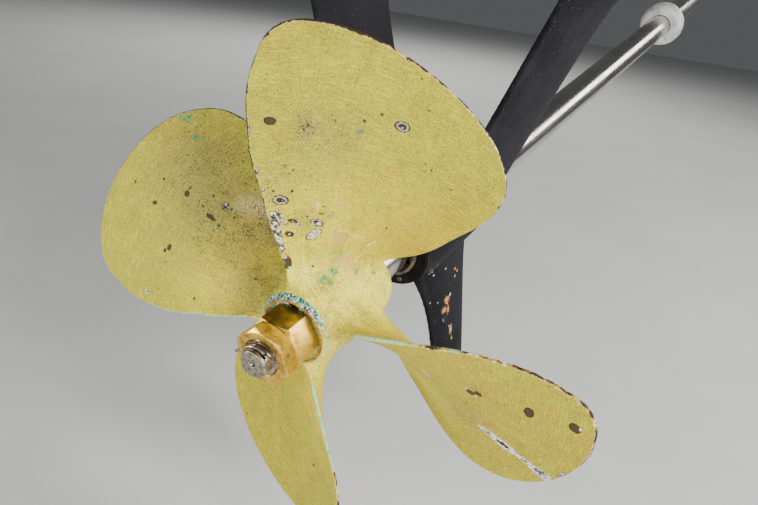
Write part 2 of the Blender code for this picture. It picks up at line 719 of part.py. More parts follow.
def make_pad_form(side, material):
    outline = bpy.data.curves.new(f"{side}_pad_form", "CURVE")
    outline.dimensions = "2D"
    outline.fill_mode = "BOTH"
    outline.extrude = PAD_THICKNESS / 2.0
    line = outline.splines.new("POLY")
    half_x = PAD_WIDTH / 2.0 - PAD_CORNER
    half_y = PAD_LENGTH / 2.0 - PAD_CORNER
    points = []
    for quarter, (x, y) in enumerate(((half_x, half_y), (-half_x, half_y), (-half_x, -half_y),
                                      (half_x, -half_y))):
        start = quarter * math.pi / 2.0
        points += arc_points((x, y), PAD_CORNER, start, start + math.pi / 2.0, PAD_CORNER_STEPS)
    line.points.add(len(points) - 1)
    line.use_cyclic_u = True
    for point, (x, y) in zip(line.points, points):
        point.co = (x, y, 0.0, 1.0)
    flat = bpy.data.objects.new(f"{side}_pad_outline", outline)
    bpy.context.scene.collection.objects.link(flat)
    graph = bpy.context.evaluated_depsgraph_get()
    mesh = bpy.data.meshes.new_from_object(flat.evaluated_get(graph))
    bpy.data.objects.remove(flat)
    shape = bmesh.new()
    shape.from_mesh(mesh)
    bmesh.ops.remove_doubles(shape, verts=shape.verts, dist=WELD)
    shape.to_mesh(mesh)
    shape.free()
    mesh.materials.clear()
    return new_object(f"{side}_pad_form", mesh, material)


# A bolt from the hull face down to its head, or with a gap and an overrun its hole.
def bolt_profile(gap, overrun):
    top = -FIT_GAP + overrun
    foot = -PAD_THICKNESS - overrun
    return (
        (top, 0.0),
        (top, BOLT_RADIUS + gap),
        (-PAD_THICKNESS + BOLT_SINK + gap, BOLT_RADIUS + gap),
        (-PAD_THICKNESS + BOLT_HEAD_RIM, BOLT_HEAD_RADIUS + gap),
        (foot, BOLT_HEAD_RADIUS + gap),
        (foot, 0.0),
    )


def bolt_places():
    places = []
    for side, centre in (("starboard", 0.0), ("port", -2.0 * PAD_OFFSET)):
        number = 0
        for along in (1.0, -1.0):
            for across in (1.0, -1.0):
                number += 1
                point = (centre + across * BOLT_ACROSS, along * BOLT_ALONG, 0.0)
                places.append((f"{side}_pad_bolt_{number}", Matrix.Translation(point)))
    return places


def make_bolts(parts, cutters, strut, material):
    for name, matrix in bolt_places():
        hole = turned(f"{name}_hole", bolt_profile(FIT_GAP, BOLT_HOLE_OVERRUN),
                      BOLT_SIDES, None)
        place(make_cutter(hole), cutters, None, matrix)
        boolean(strut, hole, "DIFFERENCE")
        bolt = turned(name, bolt_profile(0.0, 0.0), BOLT_SIDES, material)
        place(bolt, parts, None, matrix)
        slot = make_box(f"{name}_slot", (BOLT_SLOT_WIDTH, 4 * BOLT_HEAD_RADIUS,
                                         2 * BOLT_SLOT_DEPTH), None)
        place(make_cutter(slot), cutters, None,
              matrix @ Matrix.Translation((0.0, 0.0, -PAD_THICKNESS)))
        boolean(bolt, slot, "DIFFERENCE")


def make_strut(parts, cutters, axis, level, material):
    half = BARREL_LENGTH / 2.0
    waist = half * BARREL_WAIST_SHARE
    aft_end = rounded_end(-half, BARREL_END_RADIUS, BARREL_ROUND, -1.0)
    profile = [(half, 0.0)] + rounded_end(half, BARREL_END_RADIUS, BARREL_ROUND, 1.0) + [
        (waist, BARREL_MIDDLE_RADIUS), (-waist, BARREL_MIDDLE_RADIUS)] + aft_end[::-1] + [
        (-half, 0.0)]
    strut = turned("strut_casting", profile, BARREL_SIDES, material)
    place(strut, parts, axis, along_shaft(BARREL_CENTRE))
    forms = [make_arm("starboard", material), make_arm("port", material), make_fin(material)]
    for form in forms:
        place(make_cutter(form), cutters, level)
        boolean(strut, form, "UNION")
    for side, centre in (("starboard", 0.0), ("port", -2.0 * PAD_OFFSET)):
        pad = make_pad_form(side, material)
        place(make_cutter(pad), cutters, None,
              Matrix.Translation((centre, 0.0, -PAD_THICKNESS / 2.0)))
        boolean(strut, pad, "UNION")
    bore = make_rod("barrel_bore", BARREL_BORE_RADIUS, 2.0 * BARREL_LENGTH, None, BARREL_SIDES)
    place(make_cutter(bore), cutters, axis, along_shaft(BARREL_CENTRE))
    boolean(strut, bore, "DIFFERENCE")
    return strut


def make_bearing(parts, cutters, axis, bronze, rubber):
    half = BARREL_LENGTH / 2.0 - BEARING_RECESS
    shell = turned("bearing_shell", tube_profile(half, SHELL_OUTER, SHELL_INNER), BARREL_SIDES,
                   bronze, closed=True)
    place(shell, parts, axis, along_shaft(BARREL_CENTRE))
    lining = turned("bearing_lining", tube_profile(half + BEARING_RECESS - LINING_RECESS,
                                                   RUBBER_OUTER, RUBBER_INNER),
                    BARREL_SIDES, rubber, closed=True)
    place(lining, parts, axis, along_shaft(BARREL_CENTRE))
    for number in range(GROOVE_COUNT):
        groove = make_rod(f"groove_{number + 1}", GROOVE_RADIUS, 2.0 * BARREL_LENGTH, None,
                          GROOVE_SIDES)
        angle = (number + 0.5) * 2.0 * math.pi / GROOVE_COUNT
        offset = Matrix.Rotation(angle, 4, "Y") @ Matrix.Translation((0.0, 0.0, RUBBER_INNER))
        centre = Matrix.Translation((0.0, BARREL_CENTRE, 0.0))
        place(make_cutter(groove), cutters, axis, centre @ offset @ along_shaft())
        boolean(lining, groove, "DIFFERENCE")


def tube_profile(half, outer, inner):
    return ((half, inner), (half, outer), (-half, outer), (-half, inner))


def make_bearing_screws(parts, cutters, axis, strut, material):
    along = BARREL_AFT + SET_SCREW_ALONG
    end = BARREL_END_RADIUS + SET_SCREW_STAND
    middle = end - SET_SCREW_LENGTH / 2.0
    matrix = out_from_shaft(along, SET_SCREW_CLOCK, middle)
    fit_screw("bearing_set_screw", SET_SCREW_RADIUS, SET_SCREW_LENGTH, matrix, parts, cutters,
              axis, strut, material)
    radius = (BARREL_END_RADIUS + BARREL_BORE_RADIUS) / 2.0
    back = BARREL_AFT - FACE_SCREW_STAND + FACE_SCREW_LENGTH / 2.0
    matrix = out_from_shaft(back, FACE_SCREW_CLOCK, radius) @ along_shaft()
    fit_screw("bearing_face_screw", FACE_SCREW_RADIUS, FACE_SCREW_LENGTH, matrix, parts, cutters,
              axis, strut, material)


def fit_screw(name, radius, length, matrix, parts, cutters, axis, strut, material):
    hole = make_rod(f"{name}_hole", radius + FIT_GAP, length + 2.0 * FIT_GAP, None,
                    SCREW_SIDES)
    place(make_cutter(hole), cutters, axis, matrix)
    boolean(strut, hole, "DIFFERENCE")
    screw = make_rod(name, radius, length, material, SCREW_SIDES)
    place(screw, parts, axis, matrix)


def make_empty(name, collection, parent, matrix):
    empty = bpy.data.objects.new(name, None)
    return place(empty, collection, parent, matrix)


def build():
    clear_scene()
    parts, cutters = make_collections()
    coating = make_material("olive_yellow_coating", (0.50, 0.40, 0.14), 0.60, 0.0)
    bronze = make_material("bare_bronze", (0.52, 0.32, 0.11), 0.38, 1.0)
    stainless = make_material("polished_stainless", (0.55, 0.54, 0.52), 0.22, 1.0)
    zinc = make_material("zinc", (0.50, 0.50, 0.50), 0.60, 0.5)
    paint = make_material("black_bottom_paint", (0.045, 0.045, 0.050), 0.65, 0.0)
    rubber = make_material("black_rubber", (0.02, 0.02, 0.02), 0.70, 0.0)
    barrel_centre = Vector((-PAD_OFFSET, 0.0, -AXIS_BELOW_HULL))
    forward = Vector((0.0, math.cos(SHAFT_SLOPE), math.sin(SHAFT_SLOPE)))
    blade_centre = barrel_centre - forward * BARREL_CENTRE
    axis = make_empty("shaft_axis", parts, None,
                      Matrix.Translation(blade_centre) @ Matrix.Rotation(SHAFT_SLOPE, 4, "X"))
    level = make_empty("strut_level", parts, None, Matrix.Translation(barrel_centre))
    strut = make_strut(parts, cutters, axis, level, paint)
    make_bearing_screws(parts, cutters, axis, strut, stainless)
    make_bolts(parts, cutters, strut, bronze)
    make_bearing(parts, cutters, axis, bronze, rubber)
    make_propeller(parts, cutters, axis, coating)
    make_shaft(parts, cutters, axis, stainless)
    make_key(parts, axis, bronze)
    make_nut("full_nut", FULL_NUT_FORWARD, FULL_NUT_LENGTH, FULL_NUT_CLOCK, parts, cutters, axis,
             bronze)
    make_nut("jam_nut", JAM_NUT_FORWARD, JAM_NUT_LENGTH, JAM_NUT_CLOCK, parts, cutters, axis,
             bronze)
    make_cotter_pin(parts, axis, stainless)
    make_anode(parts, cutters, axis, zinc, stainless)


build()
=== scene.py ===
import json
import math
from contextlib import contextmanager
import bmesh
import bpy
import numpy as np
from mathutils import Matrix, Vector, noise


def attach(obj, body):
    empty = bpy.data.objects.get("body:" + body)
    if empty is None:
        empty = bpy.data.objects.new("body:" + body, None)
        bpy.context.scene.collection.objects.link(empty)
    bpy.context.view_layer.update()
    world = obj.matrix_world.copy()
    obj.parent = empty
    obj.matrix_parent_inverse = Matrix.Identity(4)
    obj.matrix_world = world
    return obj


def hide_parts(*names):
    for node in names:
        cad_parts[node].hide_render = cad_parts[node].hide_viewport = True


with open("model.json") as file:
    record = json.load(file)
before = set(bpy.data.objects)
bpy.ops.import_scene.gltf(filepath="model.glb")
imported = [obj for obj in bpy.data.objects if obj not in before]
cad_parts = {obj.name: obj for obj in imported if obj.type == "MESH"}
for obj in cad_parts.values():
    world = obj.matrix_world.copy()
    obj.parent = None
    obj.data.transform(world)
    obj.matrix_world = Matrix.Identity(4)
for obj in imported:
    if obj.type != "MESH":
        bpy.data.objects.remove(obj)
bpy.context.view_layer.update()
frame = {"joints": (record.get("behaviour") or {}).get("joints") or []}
print("frame loaded")


def moved(x=0.0, y=0.0, z=0.0):
    return Matrix.Translation((x, y, z))


def turned(degrees, axis="Y"):
    return Matrix.Rotation(math.radians(degrees), 4, axis)


# The shaft line, taken from the joint: origin at the blades' centre, y forward along the
# shaft, x to starboard. Clock angles run clockwise from the top as seen from astern.
turnJoint = frame["joints"][0]
barrelCentre = Vector(turnJoint["pos_m"])
shaftForward = Vector(turnJoint["axis"]).normalized()
barrelAlong = 0.2655
bladeCentre = barrelCentre - shaftForward * barrelAlong
shaftSlope = math.atan2(shaftForward.z, shaftForward.y)
shaftFrame = Matrix.Translation(bladeCentre) @ Matrix.Rotation(shaftSlope, 4, "X")
barrelFrame = shaftFrame @ moved(y=barrelAlong)


# Shapes
def numberLine(start, end, steps):
    return np.linspace(start, end, steps + 1)


def stationCurve(stations, at):
    # smooth value between given stations, slopes taken from the neighbours
    x, y = np.array(stations).T
    at = np.asarray(at, float)
    span = np.clip(np.searchsorted(x, at, side="left") - 1, 0, len(x) - 2)
    before, after = np.maximum(span - 1, 0), np.minimum(span + 2, len(x) - 1)
    width = x[span + 1] - x[span]
    t = (at - x[span]) / width
    slope0 = (y[span + 1] - y[before]) / (x[span + 1] - x[before])
    slope1 = (y[after] - y[span]) / (x[after] - x[span])
    rise = 2 * t**3 - 3 * t**2 + 1
    return (rise * y[span] + (1 - rise) * y[span + 1] + (t**3 - 2 * t**2 + t) * width * slope0
            + (t**3 - t**2) * width * slope1)


def softened(profile, rounding, closed=False, steps=3, straight=-0.985):
    # rounds the corners of a profile of (along, radius) pairs
    points = [np.array(p, float) for p in profile]
    count = len(points)
    out = []
    for i, corner in enumerate(points):
        back, ahead = points[i - 1] - corner, points[(i + 1) % count] - corner
        lengthBack, lengthAhead = np.linalg.norm(back), np.linalg.norm(ahead)
        turn = np.dot(back, ahead) / max(lengthBack * lengthAhead, 1e-12)
        if turn < straight or (not closed and i in (0, count - 1)):
            out.append(corner)
            continue
        cut = min(rounding, 0.45 * lengthBack, 0.45 * lengthAhead)
        start, end = corner + back / lengthBack * cut, corner + ahead / lengthAhead * cut
        for t in numberLine(0, 1, steps):
            out.append(start * (1 - t) ** 2 + corner * 2 * t * (1 - t) + end * t**2)
    return out


def arcPoints(centre, radius, start, end, steps):
    return [(centre[0] + radius * math.cos(a), centre[1] + radius * math.sin(a))
            for a in numberLine(start, end, steps)]


@contextmanager
def edited(mesh):
    shape = bmesh.new()
    shape.from_mesh(mesh)
    yield shape
    shape.to_mesh(mesh)
    shape.free()


def tidyMesh(mesh, weld=1e-6):
    with edited(mesh) as shape:
        bmesh.ops.remove_doubles(shape, verts=shape.verts, dist=weld)
        bmesh.ops.dissolve_degenerate(shape, edges=shape.edges, dist=weld)
        edges = [e for e in shape.edges if e.is_boundary]
        if edges:
            bmesh.ops.holes_fill(shape, edges=edges, sides=0)
        bmesh.ops.recalc_face_normals(shape, faces=shape.faces)


def showObject(name, data, matrix=None):
    if matrix is not None:
        data.transform(matrix)
    obj = bpy.data.objects.new(name, data)
    bpy.context.scene.collection.objects.link(obj)
    return obj


def gridForm(name, rows, closed=False, matrix=None):
    # skin over rows of points; merged, its ends closed, its faces turned outwards
    rows = np.asarray(rows, float)
    index = np.arange(rows.size // 3).reshape(rows.shape[:2])
    top, down = (index, np.roll(index, -1, 0)) if closed else (index[:-1], index[1:])
    faces = np.stack([top, np.roll(top, -1, 1), np.roll(down, -1, 1), down], -1)
    mesh = bpy.data.meshes.new(name)
    mesh.from_pydata(rows.reshape(-1, 3).tolist(), [], faces.reshape(-1, 4).tolist())
    tidyMesh(mesh)
    return showObject(name, mesh, matrix)


def turnedForm(name, profile, sides=128, closed=False, carve=None, matrix=None):
    # profile of (along, radius) pairs turned about the shaft line
    profile = np.array(profile, float)
    angle = np.arange(sides) * 2 * np.pi / sides
    along = np.repeat(profile[:, :1], sides, 1)
    radius = np.repeat(profile[:, 1:], sides, 1)
    if carve:
        radius = carve(along, radius, angle[None, :])
    rows = np.stack([radius * np.sin(angle), along, radius * np.cos(angle)], -1)
    return gridForm(name, rows, closed, matrix)


def boxForm(name, low, high, bevel=0.0, matrix=None):
    mesh = bpy.data.meshes.new(name)
    with edited(mesh) as shape:
        bmesh.ops.create_cube(shape, size=1.0)
        low, high = Vector(low), Vector(high)
        for v in shape.verts:
            v.co = Vector([low[i] + (v.co[i] + 0.5) * (high[i] - low[i]) for i in range(3)])
        if bevel:
            bmesh.ops.bevel(shape, geom=list(shape.edges), offset=bevel, segments=3, affect="EDGES",
                            profile=0.5)
    return showObject(name, mesh, matrix)


def rodForm(name, radius, length, sides, matrix=None):
    # plain rod along its own z axis, centred
    mesh = bpy.data.meshes.new(name)
    with edited(mesh) as shape:
        bmesh.ops.create_cone(shape, cap_ends=True, segments=sides, radius1=radius, radius2=radius,
                              depth=length)
    return showObject(name, mesh, matrix)


def applied(obj):
    # the object with its modifiers made plain; the old one goes
    graph = bpy.context.evaluated_depsgraph_get()
    mesh = bpy.data.meshes.new_from_object(obj.evaluated_get(graph), depsgraph=graph)
    name = mesh.name = obj.name
    bpy.data.objects.remove(obj)
    return showObject(name, mesh)


def cut(obj, cutters, operation="DIFFERENCE"):
    for cutter in cutters:
        step = obj.modifiers.new("cut", "BOOLEAN")
        step.operation = operation
        step.object = cutter
        step.solver = "MANIFOLD"
    obj = applied(obj)
    for cutter in cutters:
        bpy.data.objects.remove(cutter)
    return obj


def readVertices(mesh, what="co"):
    values = np.empty(len(mesh.vertices) * 3, np.float32)
    mesh.vertices.foreach_get(what, values)
    return values.reshape(-1, 3).astype(float)


def moveVertices(mesh, co):
    mesh.vertices.foreach_set("co", np.ascontiguousarray(co, np.float32).ravel())
    mesh.update()


def writeField(mesh, name, values):
    kind, key = ("FLOAT_VECTOR", "vector") if np.ndim(values) > 1 else ("FLOAT", "value")
    field = mesh.attributes.new(name, kind, "POINT")
    field.data.foreach_set(key, np.ascontiguousarray(values, np.float32).ravel())


def noiseAt(points, scale, seed):
    # steady noise from -1 to 1 at each point
    shift = Vector((seed * 7.31, seed * 3.17, seed * 5.73))
    return np.array([noise.noise(Vector(p) * scale + shift) for p in points])


def settle(obj, body, finish, nodes, matrix=shaftFrame, sharp=34.0):
    # last step of a piece: into its place, smooth sides, finish, body and CAD nodes
    obj.data.transform(matrix)
    obj.data.shade_smooth()
    obj.data.set_sharp_from_angle(angle=math.radians(sharp))
    obj.data.materials.clear()
    obj.data.materials.append(finishes[finish])
    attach(obj, body)
    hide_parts(*nodes)


class Recipe:
    # short words for making the nodes of one tree
    def __init__(self, tree):
        self.tree = tree

    def feed(self, socket, value):
        if isinstance(value, bpy.types.NodeSocket):
            self.tree.links.new(value, socket)
        else:
            socket.default_value = value

    def put(self, kind, values, **settings):
        node = self.tree.nodes.new(kind)
        for key, value in settings.items():
            setattr(node, key, value)
        for key, value in values.items():
            self.feed(node.inputs[key], value)
        return node

    def get(self, kind, values, output=0, **settings):
        return self.put(kind, values, **settings).outputs[output]


class Copies(Recipe):
    # one piece copied onto points, ended in plain geometry with its finish set
    def __init__(self, name, inputs):
        super().__init__(bpy.data.node_groups.new(name, "GeometryNodeTree"))
        sockets = self.tree.interface
        for label, kind in {"Geometry": "Geometry", **inputs, "Finish": "Material"}.items():
            sockets.new_socket(label, in_out="INPUT", socket_type="NodeSocket" + kind)
        sockets.new_socket("Geometry", in_out="OUTPUT", socket_type="NodeSocketGeometry")
        self.inputs = self.tree.nodes.new("NodeGroupInput").outputs

    def end(self, points, turn=(0.0, 0.0, 0.0)):
        copies = self.get("GeometryNodeInstanceOnPoints", {
            "Points": points, "Instance": self.inputs["Geometry"], "Rotation": turn})
        real = self.get("GeometryNodeRealizeInstances", {"Geometry": copies})
        done = self.get("GeometryNodeSetMaterial", {"Geometry": real, "Material": self.inputs["Finish"]})
        self.put("NodeGroupOutput", {0: done})

    def run(self, obj, values):
        step = obj.modifiers.new("copies", "NODES")
        step.node_group = self.tree
        for item in self.tree.interface.items_tree:
            if item.name in values:
                step[item.identifier] = values[item.name]
        return applied(obj)


def ringCopies():
    # turned evenly about the shaft line
    t = Copies("copies_round_the_shaft", {"Count": "Int", "First clock angle": "Float"})
    points = t.get("GeometryNodePoints", {"Count": t.inputs["Count"]})
    step = t.get("ShaderNodeMath", {0: 2 * math.pi, 1: t.inputs["Count"]}, operation="DIVIDE")
    turn = t.get("ShaderNodeMath", {0: t.get("GeometryNodeInputIndex", {}), 1: step,
                                    2: t.inputs["First clock angle"]}, operation="MULTIPLY_ADD")
    t.end(points, t.get("ShaderNodeCombineXYZ", {"Y": turn}))
    return t


def padCopies():
    # at the four corners of each hull pad, each turned by chance
    t = Copies("copies_on_the_pads", {"Spacing along": "Float", "Spacing across": "Float",
                                      "Port pad centre": "Vector", "Turn": "Float", "Seed": "Int"})
    corners = t.get("GeometryNodeMeshGrid", {
        "Size X": t.inputs["Spacing across"], "Size Y": t.inputs["Spacing along"],
        "Vertices X": 2, "Vertices Y": 2})
    shifted = t.get("GeometryNodeTransform", {
        "Geometry": corners, "Translation": t.inputs["Port pad centre"]})
    both = t.put("GeometryNodeJoinGeometry", {})
    for part in (corners, shifted):
        t.feed(both.inputs[0], part)
    chance = t.get("FunctionNodeRandomValue", {3: t.inputs["Turn"], "Seed": t.inputs["Seed"]}, 1)
    t.end(both.outputs[0], t.get("ShaderNodeCombineXYZ", {"Z": chance}))
    return t


def pairCopies():
    # two, a set distance to each side
    t = Copies("pair_either_side", {"Half distance": "Float"})
    away = t.inputs["Half distance"]
    back = t.get("ShaderNodeMath", {0: away, 1: -1.0}, operation="MULTIPLY")
    start, end = [t.get("ShaderNodeCombineXYZ", {"X": x}) for x in (back, away)]
    t.end(t.get("GeometryNodeMeshLine", {"Count": 2, "Start Location": start, "Offset": end},
                mode="END_POINTS"))
    return t


# Finishes
def tone(red, green, blue):
    # colour given in display values, as scene values
    shown = (red, green, blue)
    return tuple(((v / 255 + 0.055) / 1.055) ** 2.4 if v > 10 else v / 255 / 12.92 for v in shown)


class Finish(Recipe):
    # one material on the shaft line's own axes; its tones are named in display values
    def __init__(self, name, tones, roughness, metallic=0.0, specular=0.5, centre=bladeCentre,
                 slope=shaftSlope):
        self.material = bpy.data.materials.new(name)
        self.material.use_nodes = True
        super().__init__(self.material.node_tree)
        self.shader = self.tree.nodes["Principled BSDF"]
        self.shader.inputs["Roughness"].default_value = roughness
        self.shader.inputs["Metallic"].default_value = metallic
        self.shader.inputs["Specular IOR Level"].default_value = specular
        self.tones = tones
        self.place = self.get("ShaderNodeMapping", {
            "Vector": self.get("ShaderNodeTexCoord", {}, "Object"), "Location": centre,
            "Rotation": (slope, 0, 0)}, vector_type="TEXTURE")

    def field(self, name, output="Fac"):
        return self.get("ShaderNodeAttribute", {}, output, attribute_name=name)

    def parts(self, vector):
        return self.put("ShaderNodeSeparateXYZ", {"Vector": vector}).outputs

    def math(self, operation, *values):
        return self.get("ShaderNodeMath", dict(enumerate(values)), operation=operation)

    def times(self, a, b):
        return self.math("MULTIPLY", a, b)

    def plus(self, a, b):
        return self.math("ADD", a, b)

    def less(self, a, b):
        return self.math("SUBTRACT", a, b)

    def scaled(self, a, b, c):
        # a times b, and c added
        return self.math("MULTIPLY_ADD", a, b, c)

    def vector(self, operation, *values, output=0):
        return self.get("ShaderNodeVectorMath", dict(enumerate(values)), output, operation=operation)

    def noise(self, scale, detail=4.0, roughness=0.55, place=None, output="Fac"):
        return self.get("ShaderNodeTexNoise", {"Vector": self.place if place is None else place,
                        "Scale": scale, "Detail": detail, "Roughness": roughness}, output)

    def streaks(self, stretch, detail, roughness, place=None):
        # noise drawn out one way
        place = self.vector("MULTIPLY", self.place if place is None else place, stretch)
        return self.noise(1.0, detail, roughness, place)

    def wander(self, scale, detail, roughness, reach):
        # small shifts, so that no mark has a smooth outline
        colour = self.noise(scale, detail, roughness, output="Color")
        centred = self.vector("SUBTRACT", colour, (0.5, 0.5, 0.5))
        return self.get("ShaderNodeVectorMath", {0: centred, "Scale": reach}, operation="SCALE")

    def cells(self, scale):
        return self.get("ShaderNodeTexVoronoi", {"Vector": self.place, "Scale": scale})

    def span(self, value, low, high, toLow=0.0, toHigh=1.0):
        return self.get("ShaderNodeMapRange", {"Value": value, "From Min": low, "From Max": high,
                        "To Min": toLow, "To Max": toHigh}, interpolation_type="SMOOTHSTEP")

    def nearest(self, spots):
        # distance to the nearest spot, counted so that each spot's own edge is at 1
        shares = None
        for place, size, shift in spots:
            share = self.vector("LENGTH", self.vector("MULTIPLY_ADD", place, size, shift), output="Value")
            shares = share if shares is None else self.math("MINIMUM", shares, share)
        return shares

    def mix(self, factor, a, b):
        a, b = [(*tone(*self.tones[v]), 1.0) if isinstance(v, str) else v for v in (a, b)]
        return self.get("ShaderNodeMix", {0: factor, 6: a, 7: b}, 2, data_type="RGBA")

    def base(self, factor, a, b):
        self.colour = self.mix(factor, a, b)

    def lay(self, factor, top, strength=None):
        # a coat over what is there
        factor = factor if strength is None else self.times(factor, strength)
        self.colour = self.mix(factor, self.colour, top)

    def done(self, roughness=None, height=None, depth=0.0):
        self.feed(self.shader.inputs["Base Color"], self.colour)
        if roughness is not None:
            self.feed(self.shader.inputs["Roughness"], roughness)
        if height is not None:
            relief = self.get("ShaderNodeBump", {"Height": height, "Distance": depth, "Strength": 1.0})
            self.feed(self.shader.inputs["Normal"], relief)
        return self.material


# Marks on the blades: blade (0 top, 1 starboard, 2 bottom, 3 port), distance along the section
# from the pitch line towards the leading edge, distance out from the shaft, half length, half
# width, turn. All in mm and degrees.
bladeMarks = {
    "ringChips": [
        (0, 32, 232, 7.4, 5.2, 12), (0, -64, 137, 8.0, 4.5, -19), (0, -26, 111, 6.8, 3.9, -18),
        (3, 41, 158, 5.0, 4.0, 40)],
    "brownChips": [
        (0, -86, 214, 6.1, 3.5, -13), (0, -51, 101, 5.0, 2.7, -22), (0, -51, 72, 7.1, 4.8, -69),
        (0, -61, 104, 3.4, 2.4, -32), (0, -66, 109, 2.8, 1.8, -28), (0, -59, 91, 2.8, 2.0, -62),
        (0, -91, 168, 2.7, 2.0, -85), (0, -49, 114, 5.1, 1.8, -19), (1, -22, 182, 5.5, 4.4, -35),
        (1, -28, 190, 5.0, 4.2, -35), (1, -47, 242, 9.1, 5.0, -7), (1, -62, 285, 7.4, 5.6, -5),
        (3, 33, 204, 3.8, 2.9, 11), (3, 5, 236, 3.3, 2.5, -59), (3, 22, 165, 6.6, 2.5, 81),
        (3, -33, 199, 4.3, 2.6, -15), (3, -39, 204, 2.8, 1.8, -22), (2, -58, 205, 3.0, 2.0, 20)],
    "paleChips": [
        (0, -27, 98, 7.9, 4.3, 31), (0, -67, 122, 8.0, 2.6, -35), (0, -105, 208, 4.0, 1.4, -76),
        (0, -83, 148, 3.4, 1.8, -54), (3, -97, 224, 5.0, 1.2, -1), (1, 25, 291, 7.4, 1.7, -14),
        (0, -43, 110, 2.3, 1.8, -32), (1, -26, 177, 4.0, 1.5, -20)],
    "darkSpecks": [
        (0, -50, 211, 1.6, 1.2, -33), (0, -53, 206, 2.4, 0.8, -54), (0, -46, 209, 3.2, 0.5, -12),
        (0, -56, 209, 2.6, 0.5, 24), (0, -52, 214, 2.4, 0.4, 70), (0, -45, 204, 2.2, 0.4, -40),
        (0, -59, 204, 2.0, 0.4, 60), (0, -49, 202, 2.0, 0.4, 85), (0, -60, 219, 0.9, 0.8, 0),
        (0, -31, 224, 0.9, 0.9, 0), (0, -27, 218, 0.9, 0.9, 0), (0, -2, 225, 2.1, 1.4, -30),
        (0, -65, 186, 0.8, 0.7, 0), (0, -65, 171, 1.1, 0.9, 0), (0, -56, 166, 1.3, 1.0, -69),
        (0, -40, 162, 0.8, 0.7, 0), (0, -78, 157, 0.9, 0.7, 0), (0, -72, 147, 1.9, 1.0, -31),
        (0, -54, 145, 1.9, 1.1, -9), (0, -75, 137, 1.0, 0.7, 0), (0, 12, 236, 1.8, 1.4, 14),
        (0, 38, 282, 1.0, 0.8, 0), (0, 51, 258, 1.2, 0.9, 44), (0, -23, 121, 2.9, 1.0, -5),
        (0, -22, 129, 1.7, 0.9, 2), (0, -36, 118, 1.4, 0.9, -8), (0, -24, 62, 1.7, 1.2, -40),
        (0, 61, 207, 1.0, 0.8, 0), (0, 68, 204, 1.3, 1.0, 84), (0, 63, 199, 1.0, 0.8, 0),
        (0, 92, 196, 1.4, 1.0, 50), (0, 44, 117, 1.6, 1.1, -80), (3, 55, 214, 1.1, 0.9, 33),
        (3, 36, 237, 1.7, 1.5, 25), (3, 68, 191, 1.2, 0.9, 37), (3, 16, 269, 1.9, 1.5, 14),
        (3, 41, 204, 2.4, 1.2, 12), (3, 45, 176, 1.9, 1.2, 19), (3, 29, 180, 1.9, 1.3, 82),
        (3, 32, 187, 1.4, 1.0, 81), (3, 18, 152, 2.4, 1.4, 53), (3, 41, 150, 1.4, 1.2, 45),
        (3, 34, 142, 1.5, 1.4, 62), (3, -68, 148, 2.7, 1.4, -21), (3, -85, 204, 1.8, 0.9, -56),
        (3, -50, 199, 1.3, 0.8, -55), (1, -106, 262, 1.6, 0.7, -21), (1, 13, 179, 3.3, 1.0, -4),
        (2, 83, 266, 2.0, 1.2, 0), (2, 32, 189, 1.5, 1.0, 0)],
    "whiteDots": [
        (0, -51, 101, 0.9, 0.8, 0), (0, -24, 110, 1.7, 1.4, -18), (0, 32, 231, 0.9, 0.8, 0),
        (1, -64, 290, 2.2, 1.6, 0), (1, -20, 188, 3.2, 1.0, -30)],
    "cracks": [
        (0, -1, 102, 4.5, 0.6, 5), (0, 4, 103, 1.7, 0.6, 46), (0, 9, 100, 5.9, 0.5, -48),
        (0, 15, 97, 2.4, 0.6, 35), (0, 22, 96, 5.2, 0.6, -22), (0, 32, 88, 4.0, 1.4, 66),
        (0, 36, 93, 2.7, 1.1, 44), (0, 13, 74, 3.4, 0.7, 62), (0, -28, 132, 2.2, 0.6, -52),
        (0, -27, 127, 3.4, 0.5, 81), (1, 2, 127, 6.0, 2.4, 31)],
    "aquaSpots": [
        (0, -15, 118, 3.9, 3.3, -18), (0, -1, 54, 5.5, 4.0, -30), (3, 115, 255, 8.5, 5.3, -55),
        (3, 98, 233, 5.5, 4.0, -57), (0, 25, 53, 3.9, 2.6, -45)],
    "blueSmears": [(0, -3, 214, 4.7, 3.1, 22)],
    "pinkSpots": [
        (0, -2, 93, 8.9, 6.4, -71), (0, 11, 64, 9.8, 7.2, -28), (0, -7, 135, 4.6, 3.8, -78),
        (0, -21, 71, 3.9, 2.7, -27)],
    "scrapes": [
        (1, 47, 212, 10.0, 5.0, 88), (1, 47, 231, 18.0, 7.5, 88), (1, 47, 256, 10.0, 4.5, 90),
        (1, 48, 277, 16.0, 7.0, 86), (1, 9, 133, 5.0, 3.0, 8)],
}
coating = {
    "khaki": (152, 151, 46), "litGold": (236, 214, 46), "bright": (255, 242, 96), "tan": (180, 142, 48),
    "moss": (166, 176, 48), "straw": (244, 226, 62), "shade": (122, 104, 38), "speck": (78, 62, 28),
    "brown": (80, 60, 40), "darkBrown": (60, 46, 34), "white": (250, 247, 240), "chalk": (232, 227, 214),
    "grey": (158, 146, 140), "dustAndShade": (122, 112, 90), "paleAqua": (176, 226, 190),
    "verdigris": (44, 118, 66), "aqua": (84, 184, 142), "deepAqua": (30, 74, 76),
    "pink": (214, 168, 116), "blue": (82, 112, 108),
    "rust": (132, 86, 42), "ochre": (190, 146, 56), "sand": (238, 220, 168), "cream": (250, 238, 172),
}


def bladeSpots(f, place, marks):
    for blade, along, out, halfLength, halfWidth, turn in marks:
        centre = (along / 1000, out / 1000, blade * 10.0)
        size = (1000 / halfLength, 1000 / halfWidth, 1.0)
        straight = f.get("ShaderNodeVectorRotate", {"Vector": place, "Center": centre,
                         "Angle": -math.radians(turn)}, rotation_type="Z_AXIS")
        yield straight, size, tuple(-c * k for c, k in zip(centre, size))


